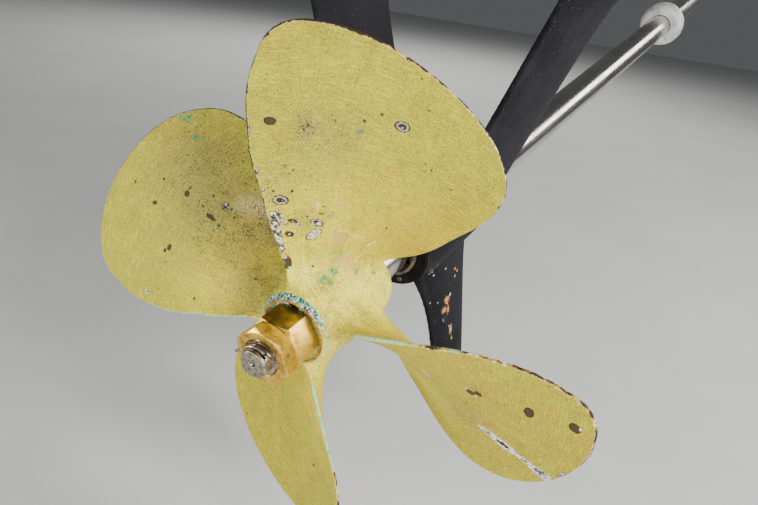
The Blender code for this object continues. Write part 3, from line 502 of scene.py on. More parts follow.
def layGround(f, onBlade):
    # painted light: gold near the hub, khaki further out, so the blades grow lighter towards the hub; with
    # clouds, brush marks and a fine grain over both
    out = f.parts(onBlade)["Y"]
    clouds, patches = f.noise(11.0, 3.0, 0.55), f.noise(46.0, 4.0, 0.6)
    brushed = f.streaks((330.0, 40.0, 3.0), 3.0, 0.6, onBlade)
    crossed = f.streaks((60.0, 480.0, 3.0), 3.0, 0.6, onBlade)
    grain = f.noise(620.0, 3.0, 0.65)
    f.base(f.span(f.plus(out, f.scaled(clouds, 0.14, -0.07)), 0.09, 0.21), "litGold", "khaki")
    # painted highlight: the hub and the blade roots lightened further
    f.lay(f.span(out, 0.084, 0.054), "bright")
    f.lay(f.field("warm"), "tan", 0.8)
    f.lay(f.span(f.noise(17.0, 4.0, 0.6), 0.5, 0.68), "tan", 0.6)
    f.lay(f.span(patches, 0.48, 0.62), "moss", 0.7)
    f.lay(f.span(f.noise(29.0, 5.0, 0.68), 0.5, 0.66), "shade", 0.5)
    f.lay(f.span(brushed, 0.48, 0.68), "shade", 0.45)
    f.lay(f.span(crossed, 0.5, 0.68), "straw", 0.5)
    f.lay(f.span(grain, 0.48, 0.62), "shade", 0.7)
    f.lay(f.span(f.noise(1500.0, 2.0, 0.5), 0.48, 0.6), "straw", 0.6)
    return grain, brushed, crossed, patches


def bladeCoating():
    f = Finish("blade_coating", coating, 0.6, specular=0.12)
    onBlade = f.field("bladePlace", "Vector")
    edge, rim = f.field("edgeDistance"), f.field("rimDistance")
    patina, wornAndShaded, pale = f.field("patina"), f.field("wornAndShaded"), f.field("pale")
    grain, brushed, crossed, patches = layGround(f, onBlade)
    # dusty grey over worn places; the broad patches on the port blade are painted shade, greying it as if
    # shaded by the top blade
    f.lay(f.times(wornAndShaded, f.span(grain, 0.36, 0.6, 0.3, 0.8)), "dustAndShade")
    f.lay(f.times(f.span(pale, 0.05, 0.9, 0.0, 0.8), f.span(f.noise(900.0, 2.0, 0.6), 0.4, 0.6)), "sand")
    # pits and specks, thicker where the coating is worn
    pitSize = f.span(f.noise(24.0, 4.0, 0.7), 0.44, 0.64, 0.01, 0.17)
    pitted = f.math("LESS_THAN", f.cells(210.0), f.plus(pitSize, f.times(wornAndShaded, 0.12)))
    fine = f.math("LESS_THAN", f.cells(400.0), f.scaled(wornAndShaded, 0.26, 0.16))
    fine = f.times(fine, f.span(f.noise(55.0, 4.0, 0.65), 0.48, 0.58))
    f.lay(f.math("MAXIMUM", pitted, fine), "speck", 0.8)
    warp = f.vector("MULTIPLY", f.wander(280.0, 5.0, 0.8, 0.0048), (1.0, 1.0, 0.0))
    warped = f.vector("ADD", onBlade, warp)

    def spots(kind, place=warped):
        return f.nearest(bladeSpots(f, place, bladeMarks[kind]))

    flake = f.noise(420.0, 3.0, 0.65)
    f.lay(f.span(spots("pinkSpots"), 1.2, 0.75), "pink", 0.5)
    f.lay(f.times(f.span(spots("blueSmears"), 1.15, 0.5), f.span(flake, 0.34, 0.5)), "blue", 0.85)
    aquaSpot = f.times(f.span(spots("aquaSpots"), 1.3, 0.5), f.span(flake, 0.4, 0.52))
    f.lay(aquaSpot, f.mix(f.span(grain, 0.42, 0.6), "verdigris", "aqua"))
    f.lay(f.span(spots("darkSpecks"), 1.15, 0.85), "darkBrown", 0.9)
    # bared places: pale primer with a brown outline, brown metal with a dark one
    paleChip = spots("paleChips")
    paleHit, paleCore = f.span(paleChip, 1.12, 1.04), f.span(paleChip, 0.96, 0.86)
    chalky = f.mix(f.span(flake, 0.44, 0.58), "chalk", "grey")
    f.lay(f.times(paleHit, f.span(flake, 0.3, 0.5)), "brown")
    f.lay(f.times(paleCore, f.span(flake, 0.28, 0.4)), chalky)
    scrape, torn = spots("scrapes"), f.noise(360.0, 4.0, 0.8)
    scrapeHit = f.span(f.scaled(torn, 2.6, f.less(1.0, scrape)), 1.22, 1.3)
    f.lay(scrapeHit, f.mix(f.span(grain, 0.54, 0.62), "white", "brown"))
    f.lay(f.times(f.span(scrape, 0.6, 0.45), f.span(f.noise(150.0, 3.0), 0.42, 0.48)), "darkBrown")
    brownChip = spots("brownChips")
    brownHit = f.span(brownChip, 1.06, 0.98)
    f.lay(brownHit, f.mix(f.span(brownChip, 0.66, 0.84), "brown", "darkBrown"))
    ring = spots("ringChips")
    ringHit = f.span(ring, 1.06, 0.98)
    f.lay(ringHit, "darkBrown")
    f.lay(f.span(ring, 0.9, 0.8), f.mix(0.35, chalky, "brown"))
    ringHeart = f.times(f.span(ring, 0.6, 0.5), f.span(flake, 0.3, 0.4))
    f.lay(ringHeart, f.mix(f.span(flake, 0.56, 0.64), "darkBrown", "brown"))
    # flaked runs: chalk, brown and dark crumbs side by side
    flaked = f.field("flaked")
    flakeHit = f.span(f.scaled(flaked, 0.5, torn), 0.72, 0.77)
    crumbs = f.mix(f.span(f.noise(240.0, 3.0, 0.7), 0.44, 0.5), "chalk", "darkBrown")
    crumbs = f.mix(f.span(grain, 0.54, 0.62), crumbs, "grey")
    f.lay(f.times(flakeHit, f.span(flaked, 0.02, 0.1)), crumbs)
    f.lay(f.span(spots("whiteDots"), 1.1, 0.9), "chalk")
    f.lay(f.span(spots("cracks", onBlade), 1.2, 0.7), "cream", 0.7)
    # worn edges: a thin broken line, dark or pale, green where it has weathered; the pale chalk and tan kept
    # to the edges that face the light, and the straw, are partly painted highlight, the dark line on the
    # other edges partly painted shade
    lost, greenEdge = f.noise(75.0, 4.0, 0.65), f.field("greenEdge")
    reach = f.plus(f.span(lost, 0.34, 0.54, 0.0005, 0.0015), f.span(lost, 0.6, 0.7, 0.0, 0.0018))
    ragged = f.times(f.field("ragged"), f.span(torn, 0.4, 0.6, 0.0004, 0.0022))
    reach = f.plus(ragged, f.scaled(greenEdge, 0.0008, reach))
    offHub = f.span(f.parts(onBlade)["Y"], 0.064, 0.074)
    edgeHit = f.times(f.span(f.less(reach, edge), -0.0002, 0.0002), offHub)
    baredAndLit = f.scaled(f.field("chalkedAndLitEdge"), 0.1, f.noise(90.0, 4.0, 0.7))
    inner = f.span(f.scaled(baredAndLit, 0.002, f.less(edge, reach)), 0.0006, 0.0009)
    line = f.mix(f.span(baredAndLit, 0.6, 0.66), "darkBrown", "tan")
    line = f.mix(f.times(inner, f.span(flake, 0.4, 0.5)), line, "sand")
    line = f.mix(f.span(baredAndLit, 0.7, 0.74), line, "chalk")
    line = f.mix(f.span(greenEdge, 0.2, 0.6, 0.0, 0.85), line, "straw")
    green = f.times(f.span(greenEdge, 0.15, 0.6), f.span(flake, 0.36, 0.46))
    f.lay(edgeHit, f.mix(green, line, f.mix(f.span(grain, 0.5, 0.62), "paleAqua", "aqua")))
    creep = f.times(f.span(edge, 0.003, 0.001), f.span(f.plus(flake, f.times(greenEdge, 0.25)), 0.7, 0.78))
    f.lay(f.times(creep, f.span(greenEdge, 0.4, 0.9)), "aqua")
    # green and chalky streaks on the hub's after bevel, bare ochre metal on its after face
    streak = f.streaks((230.0, 70.0, 230.0), 4.0, 0.7)
    bevel = f.times(f.span(rim, 0.0068, 0.0056), f.span(f.scaled(patina, 0.3, streak), 0.52, 0.62))
    streaked = f.mix(f.span(streak, 0.48, 0.58), "deepAqua", "aqua")
    f.lay(bevel, f.mix(f.span(flake, 0.52, 0.58), streaked, "chalk"))
    splash = f.times(f.span(patina, 0.25, 0.9), f.span(f.noise(120.0, 4.0, 0.7), 0.46, 0.56))
    splash = f.times(f.times(splash, f.span(edge, 0.0, 0.01)), f.span(rim, 0.004, 0.008, 0.0, 0.85))
    f.lay(splash, f.mix(f.span(grain, 0.5, 0.64), "verdigris", "aqua"))
    f.lay(f.span(rim, 0.0009, 0.0004), f.mix(f.span(streak, 0.4, 0.6), "rust", "ochre"))
    # relief: chips sit a little lower, brush marks and grain stand proud
    chipped = f.math("MAXIMUM", f.math("MAXIMUM", brownHit, paleHit), f.math("MAXIMUM", ringHit, scrapeHit))
    height = f.scaled(chipped, -1.0, f.times(brushed, 0.25))
    for part, share in ((grain, 0.25), (pitted, -0.4), (crossed, 0.2)):
        height = f.scaled(part, share, height)
    return f.done(f.span(patches, 0.3, 0.7, 0.52, 0.66), height, 0.0004)


bronzeTones = {"clean": (240, 198, 88), "tarnish": (168, 130, 62), "blotch": (104, 78, 40),
               "fleck": (88, 66, 38), "paintedDarkReflection": (108, 90, 58)}


def bareBronze():
    f = Finish("bare_bronze", bronzeTones, 0.4, metallic=1.0)
    tarnish = f.noise(60.0, 5.0, 0.65)
    scratch = f.streaks((900.0, 60.0, 900.0), 3.0, 0.6)
    blotch, fleck = f.noise(240.0, 3.0, 0.6), f.noise(800.0, 3.0, 0.6)
    f.base(f.span(tarnish, 0.42, 0.66), "clean", "tarnish")
    f.lay(f.span(blotch, 0.54, 0.7), "blotch", 0.4)
    f.lay(f.span(fleck, 0.56, 0.68), "fleck", 0.4)
    # painted shade: the full nut's upper face is darkened to stand in for the dark hull reflected in it
    parts = f.parts(f.place)
    clock = f.math("ARCTAN2", parts["X"], parts["Z"])
    upper = f.times(f.span(clock, -0.5, -0.42), f.span(clock, 0.62, 0.57))
    upper = f.times(upper, f.span(parts["Y"], -0.0712, -0.0698))
    f.lay(f.times(upper, f.span(tarnish, 0.36, 0.5, 0.4, 0.7)), "paintedDarkReflection")
    height = f.scaled(scratch, 0.5, f.scaled(fleck, 0.3, blotch))
    return f.done(f.span(tarnish, 0.35, 0.7, 0.34, 0.46), height, 0.00014)


def dulledBronze():
    f = Finish("dulled_bronze", {"dull": (122, 104, 98), "stain": (80, 70, 66)}, 0.5, metallic=0.3)
    stain = f.noise(150.0, 4.0, 0.65)
    f.base(f.span(stain, 0.4, 0.6), "dull", "stain")
    return f.done(None, stain, 0.0002)


steelTones = {"clean": (206, 202, 194), "stain": (172, 165, 154), "soil": (180, 168, 150),
              "dirtAndDarkReflection": (112, 100, 86)}


def polishedStainless():
    f = Finish("polished_stainless", steelTones, 0.2, metallic=1.0)
    rings = f.streaks((30.0, 2600.0, 30.0), 2.0, 0.5)
    stain = f.streaks((22.0, 9.0, 22.0), 4.0, 0.6)
    soil = f.noise(210.0, 5.0, 0.7)
    after = f.span(f.parts(f.place)["Y"], -0.03, -0.05)  # only the machined after end is soiled, and darkened as a painted dark reflection
    f.base(f.span(stain, 0.42, 0.7), "clean", "stain")
    f.lay(after, f.mix(f.span(soil, 0.42, 0.6), "soil", "dirtAndDarkReflection"), 0.9)
    rough = f.scaled(after, 0.1, f.span(stain, 0.4, 0.7, 0.16, 0.26))
    return f.done(rough, f.scaled(soil, f.times(after, 0.8), rings), 0.00004)


def castZinc():
    f = Finish("cast_zinc", {"zinc": (176, 176, 172), "bloom": (214, 213, 206), "crust": (132, 130, 126)},
               0.6, metallic=0.35)
    crust, bloom = f.noise(130.0, 5.0, 0.7), f.noise(38.0, 4.0, 0.6)
    f.base(f.span(bloom, 0.38, 0.62), "zinc", "bloom")
    f.lay(f.span(crust, 0.55, 0.7), "crust", 0.6)
    return f.done(f.span(crust, 0.3, 0.7, 0.5, 0.75), crust, 0.0006)


paintTones = {
    "black": (19, 18, 22), "faded": (34, 32, 38), "dust": (54, 51, 57), "speck": (112, 107, 106),
    "grey": (190, 186, 180), "bronze": (196, 134, 62), "bright": (236, 206, 150), "stain": (70, 50, 40),
    "primer": (206, 202, 196),
}
# chips in the strut's paint: forward of the barrel's centre and below it, half size forward and
# down, in mm
strutChips = {
    "bronze": [(26, 118, 7.5, 5.5), (31, 134, 2.6, 7.0), (20, 132, 6.5, 4.5), (41, 166, 4.2, 7.5),
               (45, 180, 2.0, 3.0), (44, 79, 3.0, 2.0), (54, 84, 3.2, 2.2), (47, 90, 2.0, 1.6)],
    "primer": [(35, 113, 1.8, 2.0), (27, 124, 1.6, 1.6), (-15, 113, 1.3, 1.0), (2, 117, 1.3, 1.1),
               (36, 160, 1.3, 2.0), (10, 70, 1.6, 1.1), (-20, 72, 1.6, 1.0)],
    "grey": [(-22, 52, 9.0, 8.0), (-30, 64, 6.0, 5.0), (20, 146, 4.0, 4.0)],
}


def bottomPaint():
    f = Finish("bottom_paint", paintTones, 0.6, specular=0.07, centre=barrelCentre, slope=0.0)
    clouds, dust, rolled = f.noise(16.0, 4.0, 0.6), f.noise(300.0, 4.0, 0.7), f.noise(620.0, 2.0, 0.5)
    f.base(f.span(clouds, 0.4, 0.66), "black", "faded")
    f.lay(f.span(dust, 0.54, 0.72), "dust", 0.28)
    flat = f.vector("MULTIPLY", f.vector("ADD", f.place, f.wander(240.0, 5.0, 0.85, 0.007)), (0.0, 1.0, 1.0))

    def spots(kind):
        return f.nearest((flat, (1.0, 1000 / half, 1000 / halfDown), (0.0, -along / half, below / halfDown))
                         for along, below, half, halfDown in strutChips[kind])

    flake, torn = f.noise(400.0, 4.0, 0.8), f.scaled(f.noise(560.0, 5.0, 0.9), 4.2, -1.1)
    bronze = f.span(f.less(torn, spots("bronze")), 0.0, 0.06)
    primer = f.span(f.less(torn, spots("primer")), 0.0, 0.1)
    grey = f.times(f.span(spots("grey"), 1.1, 0.7), f.span(flake, 0.54, 0.6))
    f.lay(f.times(f.math("LESS_THAN", f.cells(230.0), 0.14), f.span(dust, 0.44, 0.56)), "speck", 0.55)
    f.lay(grey, "grey", 0.8)
    bare = f.mix(f.span(flake, 0.52, 0.62), "bronze", "bright")
    f.lay(bronze, f.mix(f.span(f.noise(520.0, 3.0), 0.52, 0.6), bare, "stain"))
    f.lay(primer, "primer")
    height = f.scaled(bronze, -0.7, f.scaled(rolled, 0.5, clouds))
    return f.done(f.span(clouds, 0.4, 0.7, 0.58, 0.74), height, 0.0005)


def bearingRubber():
    f = Finish("bearing_rubber", {"black": (26, 26, 27), "bloom": (52, 50, 48)}, 0.65, specular=0.3)
    f.base(f.span(f.noise(90.0, 4.0, 0.6), 0.4, 0.7), "black", "bloom")
    return f.done(None, f.noise(500.0), 0.0002)


finishes = {"dulled": dulledBronze(), "coating": bladeCoating(), "bronze": bareBronze(),
            "stainless": polishedStainless(), "zinc": castZinc(), "paint": bottomPaint(),
            "rubber": bearingRubber()}
print("finishes made")

# The propeller: widths and sweeps are (share of the radius, metres)
propeller = {
    "radius": 0.305, "blades": 4, "firstClock": math.radians(13.5), "pitchInner": 0.97, "pitchTip": 0.85,
    "rakeRoot": 0.0157, "rakeTip": 0.0085, "thicknessRoot": 0.0175, "thicknessTip": 0.0045,
    "thickening": 0.029, "edgeHalf": 0.0019, "trim": 0.0006, "edgeFade": 0.012,
    "widths": ((0.0, 0.060), (0.18, 0.100), (0.30, 0.161), (0.50, 0.243), (0.70, 0.358), (0.80, 0.422),
               (0.90, 0.466), (1.0, 0.468)),
    "sweeps": ((0.0, -0.012), (0.18, 0.0), (0.30, 0.014), (0.50, 0.017), (0.70, 0.0185), (0.80, 0.0125),
               (0.90, -0.008), (1.0, -0.056)),
    "filletHeight": 0.026, "filletReach": 0.013, "filletRows": 9, "rowsOut": 88, "columns": 80, "sink": 0.006,
    "hubAft": -0.0385, "hubForward": 0.090, "hubRadius": 0.050, "recessDepth": 0.003,
    "recessRadius": 0.0338, "hubSides": 224, "boreRadius": 0.0260, "boreForward": 0.091, "taper": 1 / 32,
    "boreRoom": 0.0003, "keyWidth": 0.0133, "keyTop": 0.0320, "roughness": 0.0012, "swell": 0.0003,
}
# nicks in the blades' edges: blade, along, out, depth, half width, in mm
edgeNicks = [(0, -104, 208, 1.8, 5), (0, -84, 148, 1.6, 4), (0, -91, 168, 1.2, 3), (0, -105, 240, 1.0, 4),
             (0, 95, 262, 1.0, 4), (0, 112, 205, 0.9, 3), (1, -111, 224, 1.5, 4), (1, -112, 240, 1.3, 4),
             (1, -112, 258, 1.4, 4), (1, -106, 277, 1.2, 4), (1, 40, 300, 1.4, 4), (3, -100, 196, 1.0, 3),
             (3, -90, 180, 1.0, 3), (3, 70, 290, 1.0, 4), (2, -110, 230, 1.2, 4), (2, 100, 250, 1.0, 4)]
# where the coating differs: blade, along, out, reach in mm, strength
softPatches = {
    "patina": [(0, -105, 225, 12, 0.45), (3, 90, 285, 40, 0.45), (0, -12, 44, 13, 1.0), (0, 28, 50, 9, 0.4)],
    "greenEdge": [
        (1, -40, 74, 22, 1.0), (1, -50, 97, 22, 1.0), (1, -58, 120, 22, 1.0), (1, -66, 140, 16, 0.9),
        (1, -92, 182, 14, 0.5), (3, -107, 202, 24, 1.0), (3, -95, 170, 24, 0.9), (3, -84, 140, 24, 1.0),
        (3, -66, 110, 26, 0.9), (3, -48, 84, 20, 0.8), (2, -89, 154, 20, 0.9), (2, -110, 250, 20, 0.4),
        (2, -70, 118, 22, 0.8), (2, -54, 88, 20, 0.7), (0, 100, 150, 26, 0.6), (0, 62, 106, 26, 0.5)],
    "ragged": [
        (0, -112, 245, 40, 1.0), (0, -98, 200, 34, 1.0), (0, -84, 156, 26, 0.9), (0, -90, 280, 34, 0.8),
        (0, -40, 302, 50, 0.5), (1, -110, 240, 50, 0.5), (1, -70, 296, 50, 0.6), (3, 100, 250, 60, 0.4)],
    # worn places; the broad ones on the port blade (3) are painted shade
    "wornAndShaded": [
        (0, -50, 208, 14, 0.9), (0, -30, 196, 34, 0.4), (0, -72, 150, 24, 0.45), (3, 44, 160, 60, 0.9),
        (3, 35, 115, 50, 1.0), (3, -20, 80, 44, 0.8), (3, 70, 205, 54, 0.8), (0, -30, 115, 20, 0.4),
        (0, 5, 70, 22, 0.4), (1, 40, 180, 30, 0.4)],
    "warm": [(0, 66, 112, 46, 1.0), (0, 96, 150, 40, 0.7), (1, -20, 190, 130, 0.8), (2, 0, 220, 90, 0.25),
             (3, 60, 230, 40, 0.5)],
    "flaked": [
        (0, -66, 119, 8, 1.0), (0, -66, 109, 7, 0.9), (0, -61, 98, 6, 0.9), (0, -57, 87, 5, 0.9),
        (0, -53, 78, 4, 0.7), (0, -48, 66, 4, 0.6), (0, -55, 113, 4, 0.7), (0, -47, 112, 4, 0.6),
        (0, -42, 108, 3, 0.6), (0, -105, 208, 4, 0.8), (0, -92, 170, 4, 0.7), (0, -83, 148, 4, 0.8),
        (1, 48, 278, 8, 0.8), (1, 30, 294, 6, 0.8), (1, -105, 290, 8, 0.6), (3, -98, 220, 4, 0.7),
        (3, 41, 158, 6, 0.7)],
    "pale": [(3, 58, 128, 12, 1.0), (3, 54, 140, 14, 0.8), (3, 62, 112, 16, 0.5), (0, -29, 131, 6, 0.5)],
}


def bladeNumbers(share):
    p = propeller
    pitch = p["pitchInner"] + (p["pitchTip"] - p["pitchInner"]) * share**4
    thickness = p["thicknessRoot"] + (p["thicknessTip"] - p["thicknessRoot"]) * share
    return {
        "half": stationCurve(p["widths"], share) / 2, "sweep": stationCurve(p["sweeps"], share),
        "thickness": thickness + p["thickening"] * np.exp(-share / 0.2),
        "rake": p["rakeRoot"] + (p["rakeTip"] - p["rakeRoot"]) * share**2,
        "slope": np.arctan2(pitch * p["radius"] / np.pi, share * p["radius"]),
    }


def bladePoints(along, height, radius, clock, numbers):
    slope = numbers["slope"]
    arc = along * np.cos(slope) - height * np.sin(slope)
    forward = numbers["rake"] + along * np.sin(slope) + height * np.cos(slope)
    angle = clock + arc / radius
    return np.stack([radius * np.sin(angle), forward, radius * np.cos(angle)], -1)


def edgeRoom(across, share, step=1e-3):
    # distance in from the blade's outline, and the way in, as (along, out)
    p = propeller
    inside = np.clip(1 - share**2, 1e-7, 1)
    half = stationCurve(p["widths"], share) / 2
    low, high = np.clip(share - step, 0, 1), np.clip(share + step, 0, 1)
    halfSlope = (stationCurve(p["widths"], high) - stationCurve(p["widths"], low)) / 2 / (high - low)
    sweepSlope = (stationCurve(p["sweeps"], high) - stationCurve(p["sweeps"], low)) / (high - low)
    x = across * np.sqrt(inside)
    byAlong = 2 * x / half
    byOut = (2 * share - 2 * x**2 * halfSlope / half - 2 * x / half * sweepSlope) / p["radius"]
    length = np.maximum(np.sqrt(byAlong**2 + byOut**2), 1e-6)
    room = inside * (1 - across**2) / length
    return np.clip(room, 0, 0.06), -byAlong / length, -byOut / length


def hubOutline():
    aft, fore = propeller["hubAft"], propeller["hubForward"]
    return softened([(fore, 0.0372), (fore - 0.0024, 0.0426), (fore - 0.008, 0.045), (0.0515, 0.050),
                     (0.0103, 0.0466), (aft + 0.006, 0.0415), (aft, 0.0358)], 0.003)


def hubRadiusAt(along):
    line = np.array(hubOutline())[::-1]
    return np.interp(along, line[:, 0], line[:, 1])


def bladeForm():
    p = propeller
    reference = p["hubRadius"]
    turn = numberLine(0, np.pi / 2, p["filletRows"])
    start = math.asin((reference + p["filletHeight"]) / p["radius"])
    outAngles = numberLine(start, np.pi / 2, p["rowsOut"])[1:]
    fillet = reference - 0.0002 + p["filletHeight"] * (1 - np.cos(turn))
    radii = np.concatenate([[reference - p["sink"]], fillet, p["radius"] * np.sin(outAngles)])
    offsets = np.concatenate([[p["filletReach"]], p["filletReach"] * (1 - np.sin(turn)), outAngles * 0])
    across = -np.cos(np.pi * np.arange(p["columns"] + 1) / p["columns"])
    around = np.concatenate([across, across[-2:0:-1]])
    upper = np.concatenate([np.zeros(len(across)), np.ones(len(across) - 2)])
    base, acrossGrid = np.meshgrid(radii, around, indexing="ij")
    upperGrid = np.repeat(upper[None, :], len(radii), 0)
    fade = np.clip(1 - (base - reference) / (p["radius"] - reference), 0, 1.05) ** 3
    radius = base.copy()
    for _ in range(4):
        share = np.clip(radius / p["radius"], 0, 1)
        numbers = bladeNumbers(share)
        width = numbers["half"] * np.sqrt(np.clip(1 - share**2, 0, 1))
        room = edgeRoom(acrossGrid, share)[0]
        cap = np.sqrt(1 - (1 - np.clip(room / p["edgeHalf"], 0, 1)) ** 2)
        crown = (numbers["thickness"] - 2 * p["edgeHalf"]) * (1 - acrossGrid**2)
        crown *= np.clip(room / p["edgeFade"], 0, 1) ** 0.5
        height = np.where(upperGrid > 0, p["edgeHalf"] * cap + crown, -p["edgeHalf"] * cap)
        along = numbers["sweep"] + acrossGrid * np.maximum(width - p["trim"], 0)
        normalAlong = np.roll(height, -1, 1) - np.roll(height, 1, 1)
        normalHeight = -(np.roll(along, -1, 1) - np.roll(along, 1, 1))
        length = np.maximum(np.hypot(normalAlong, normalHeight), 1e-9)
        reach = offsets[:, None] * (1 - 0.45 * np.clip(-acrossGrid, 0, 1) ** 4)
        along = along + reach * normalAlong / length
        height = height + reach * normalHeight / length
        forward = bladePoints(along, height, radius, 0.0, numbers)[..., 1]
        radius = np.minimum(base + (hubRadiusAt(forward) - reference) * fade, p["radius"] - p["trim"])
    return gridForm("blade_form", bladePoints(along, height, radius, 0.0, numbers))


def hubForm():
    p = propeller

    def bore(along):
        return p["boreRadius"] - (p["boreForward"] - along) * p["taper"] - p["boreRoom"]

    seat = p["hubAft"] + p["recessDepth"]
    inner = softened([(p["hubAft"], p["recessRadius"]), (seat, p["recessRadius"]), (seat, bore(seat)),
                      (p["hubForward"], bore(p["hubForward"]))], 0.0005)
    return turnedForm("hub_form", hubOutline() + inner, p["hubSides"], closed=True)


def bladePlaces(co):
    # every vertex as blade number, along, out and height
    p = propeller
    x, y, z = co.T
    radius = np.maximum(np.hypot(x, z), 1e-6)
    share = np.clip(radius / p["radius"], 0, 1)
    numbers = bladeNumbers(share)
    clock = np.arctan2(x, z)
    best = np.full(len(co), 1e9)
    along, height, blade = np.zeros(len(co)), np.zeros(len(co)), np.zeros(len(co), int)
    for k in range(p["blades"]):
        away = clock - p["firstClock"] - k * 2 * np.pi / p["blades"]
        arc = (np.mod(away + np.pi, 2 * np.pi) - np.pi) * radius
        ahead = y - numbers["rake"]
        thisAlong = arc * np.cos(numbers["slope"]) + ahead * np.sin(numbers["slope"])
        thisHeight = -arc * np.sin(numbers["slope"]) + ahead * np.cos(numbers["slope"])
        nearer = np.abs(thisHeight) < best
        best = np.where(nearer, np.abs(thisHeight), best)
        along, height = np.where(nearer, thisAlong, along), np.where(nearer, thisHeight, height)
        blade = np.where(nearer, k, blade)
    return blade, along, radius, height, numbers, share


def softSpots(blade, along, radius, spots):
    # each spot's strength at every vertex, fading away from it, on its own blade only
    for k, a, r, reach, strength in spots:
        away = np.hypot(along * 1000 - a, radius * 1000 - r) / reach
        yield np.where(blade == k, strength * np.exp(-away**2), 0)


def makePropeller():
    p = propeller
    blades = ringCopies().run(bladeForm(), {"Count": p["blades"], "First clock angle": p["firstClock"],
                                            "Finish": finishes["coating"]})
    casting = cut(hubForm(), [blades], "UNION")
    keyway = boxForm("keyway", (-p["keyWidth"] / 2, -0.08, 0.0), (p["keyWidth"] / 2, 0.13, p["keyTop"]))
    casting = cut(casting, [keyway])
    casting.name = casting.data.name = "propeller_casting"
    mesh = casting.data
    tidyMesh(mesh, 2e-5)
    co = readVertices(mesh)
    blade, along, radius, height, numbers, share = bladePlaces(co)
    width = np.maximum(numbers["half"] * np.sqrt(np.clip(1 - share**2, 1e-7, 1)), 1e-5)
    across = np.clip((along - numbers["sweep"]) / width, -1, 1)
    room, inAlong, inOut = edgeRoom(across, share)
    hubRadius = hubRadiusAt(co[:, 1])
    onBlade = radius > hubRadius + 0.02
    # nicks and a ragged line along the edges, a hand-fettled swell over the sides
    nicks = [(k, a, r, half, depth / 1000) for k, a, r, depth, half in edgeNicks]
    rough = np.clip(noiseAt(co, 160.0, 3.0) * p["roughness"] - 0.0001, 0, 1)
    push = (sum(softSpots(blade, along, radius, nicks)) + rough) * np.clip(1 - room / 0.006, 0, 1) * onBlade
    newAlong, newRadius = along + push * inAlong, radius + push * inOut
    nicked = bladePoints(newAlong, height, newRadius, p["firstClock"] + blade * np.pi / 2,
                         bladeNumbers(np.clip(newRadius / p["radius"], 0, 1)))
    nicked = np.where((push > 1e-6)[:, None], nicked, co)
    swell = noiseAt(co, 26.0, 1.0) * p["swell"] * onBlade * np.clip(room / 0.01, 0, 1)
    moveVertices(mesh, nicked + readVertices(mesh, "normal") * swell[:, None])
    # fields that the coating reads
    side = np.where(height > 0, 5.0, 0.0)
    fromRim = co[:, 1] - p["hubAft"]
    clock = np.arctan2(co[:, 0], co[:, 2])
    hubGreen = np.clip(np.cos(clock + 0.5) * 1.2 + 0.3, 0.1, 1) * (fromRim < 0.007) * (radius < 0.045)
    fields = {name: np.maximum.reduce(list(softSpots(blade, along, radius, spots)))
              for name, spots in softPatches.items()}
    fields["patina"] = np.clip(np.maximum(fields["patina"], hubGreen), 0, 1)
    for name in ("wornAndShaded", "pale"):
        fields[name] = fields[name] * (side == 0)
    fields["bladePlace"] = np.stack([along, radius, blade * 10.0 + side], -1)
    fields["edgeDistance"] = np.where(radius > hubRadius + 0.004, room, 0.05)
    fields["rimDistance"] = np.where(radius < 0.0445, fromRim, 0.05)
    # edges that face the light: their pale line is partly painted highlight
    fields["chalkedAndLitEdge"] = ((blade == 0) & (along > 0)) | ((blade == 1) | (blade == 2)) & (along < 0)
    for name, values in fields.items():
        writeField(mesh, name, values)
    settle(casting, "rotor", "coating", ["propeller"], sharp=38.0)


makePropeller()
print("propeller cast")

# Shaft, key, nuts and cotter pin
shaft = {
    "radius": 0.0254, "forwardEnd": 2.050, "chamfer": 0.003, "taperForward": 0.091, "taper": 1 / 32,
    "threadForward": -0.0348, "threadRadius": 0.01905, "threadPitch": 0.00423, "threadDepth": 0.0022,
    "threadAft": -0.0898, "threadStep": 0.00035, "pinRadius": 0.01525, "pinChamfer": 0.0012, "end": -0.1013,
    "drillRadius": 0.003, "drillDepth": 0.005, "pinHole": 0.0034, "sides": 144, "keyWidth": 0.0127,
    "keyAft": -0.010, "keyForward": 0.100, "keyHeight": 0.0127, "keyRoom": 0.0003, "keywayHalf": 0.0065,
    "keywayFloor": 0.0187,
}
nuts = {
    "acrossFlats": 0.057, "chamfer": 0.0042, "bore": 0.0192, "boreChamfer": 0.0012, "edge": 0.00045,
    "full": (-0.0358, 0.0345, 34.0), "jam": (-0.0706, 0.0180, 48.0),  # forward face, length, clock
}
cotter = {
    "wire": 0.0015, "along": -0.0956, "clock": 40.0, "wrap": 77.0, "longTail": 0.0175, "shortTail": 0.006,
    "eye": 0.0030, "mouth": 22.0, "splay": 0.00015, "room": 0.0003,
}


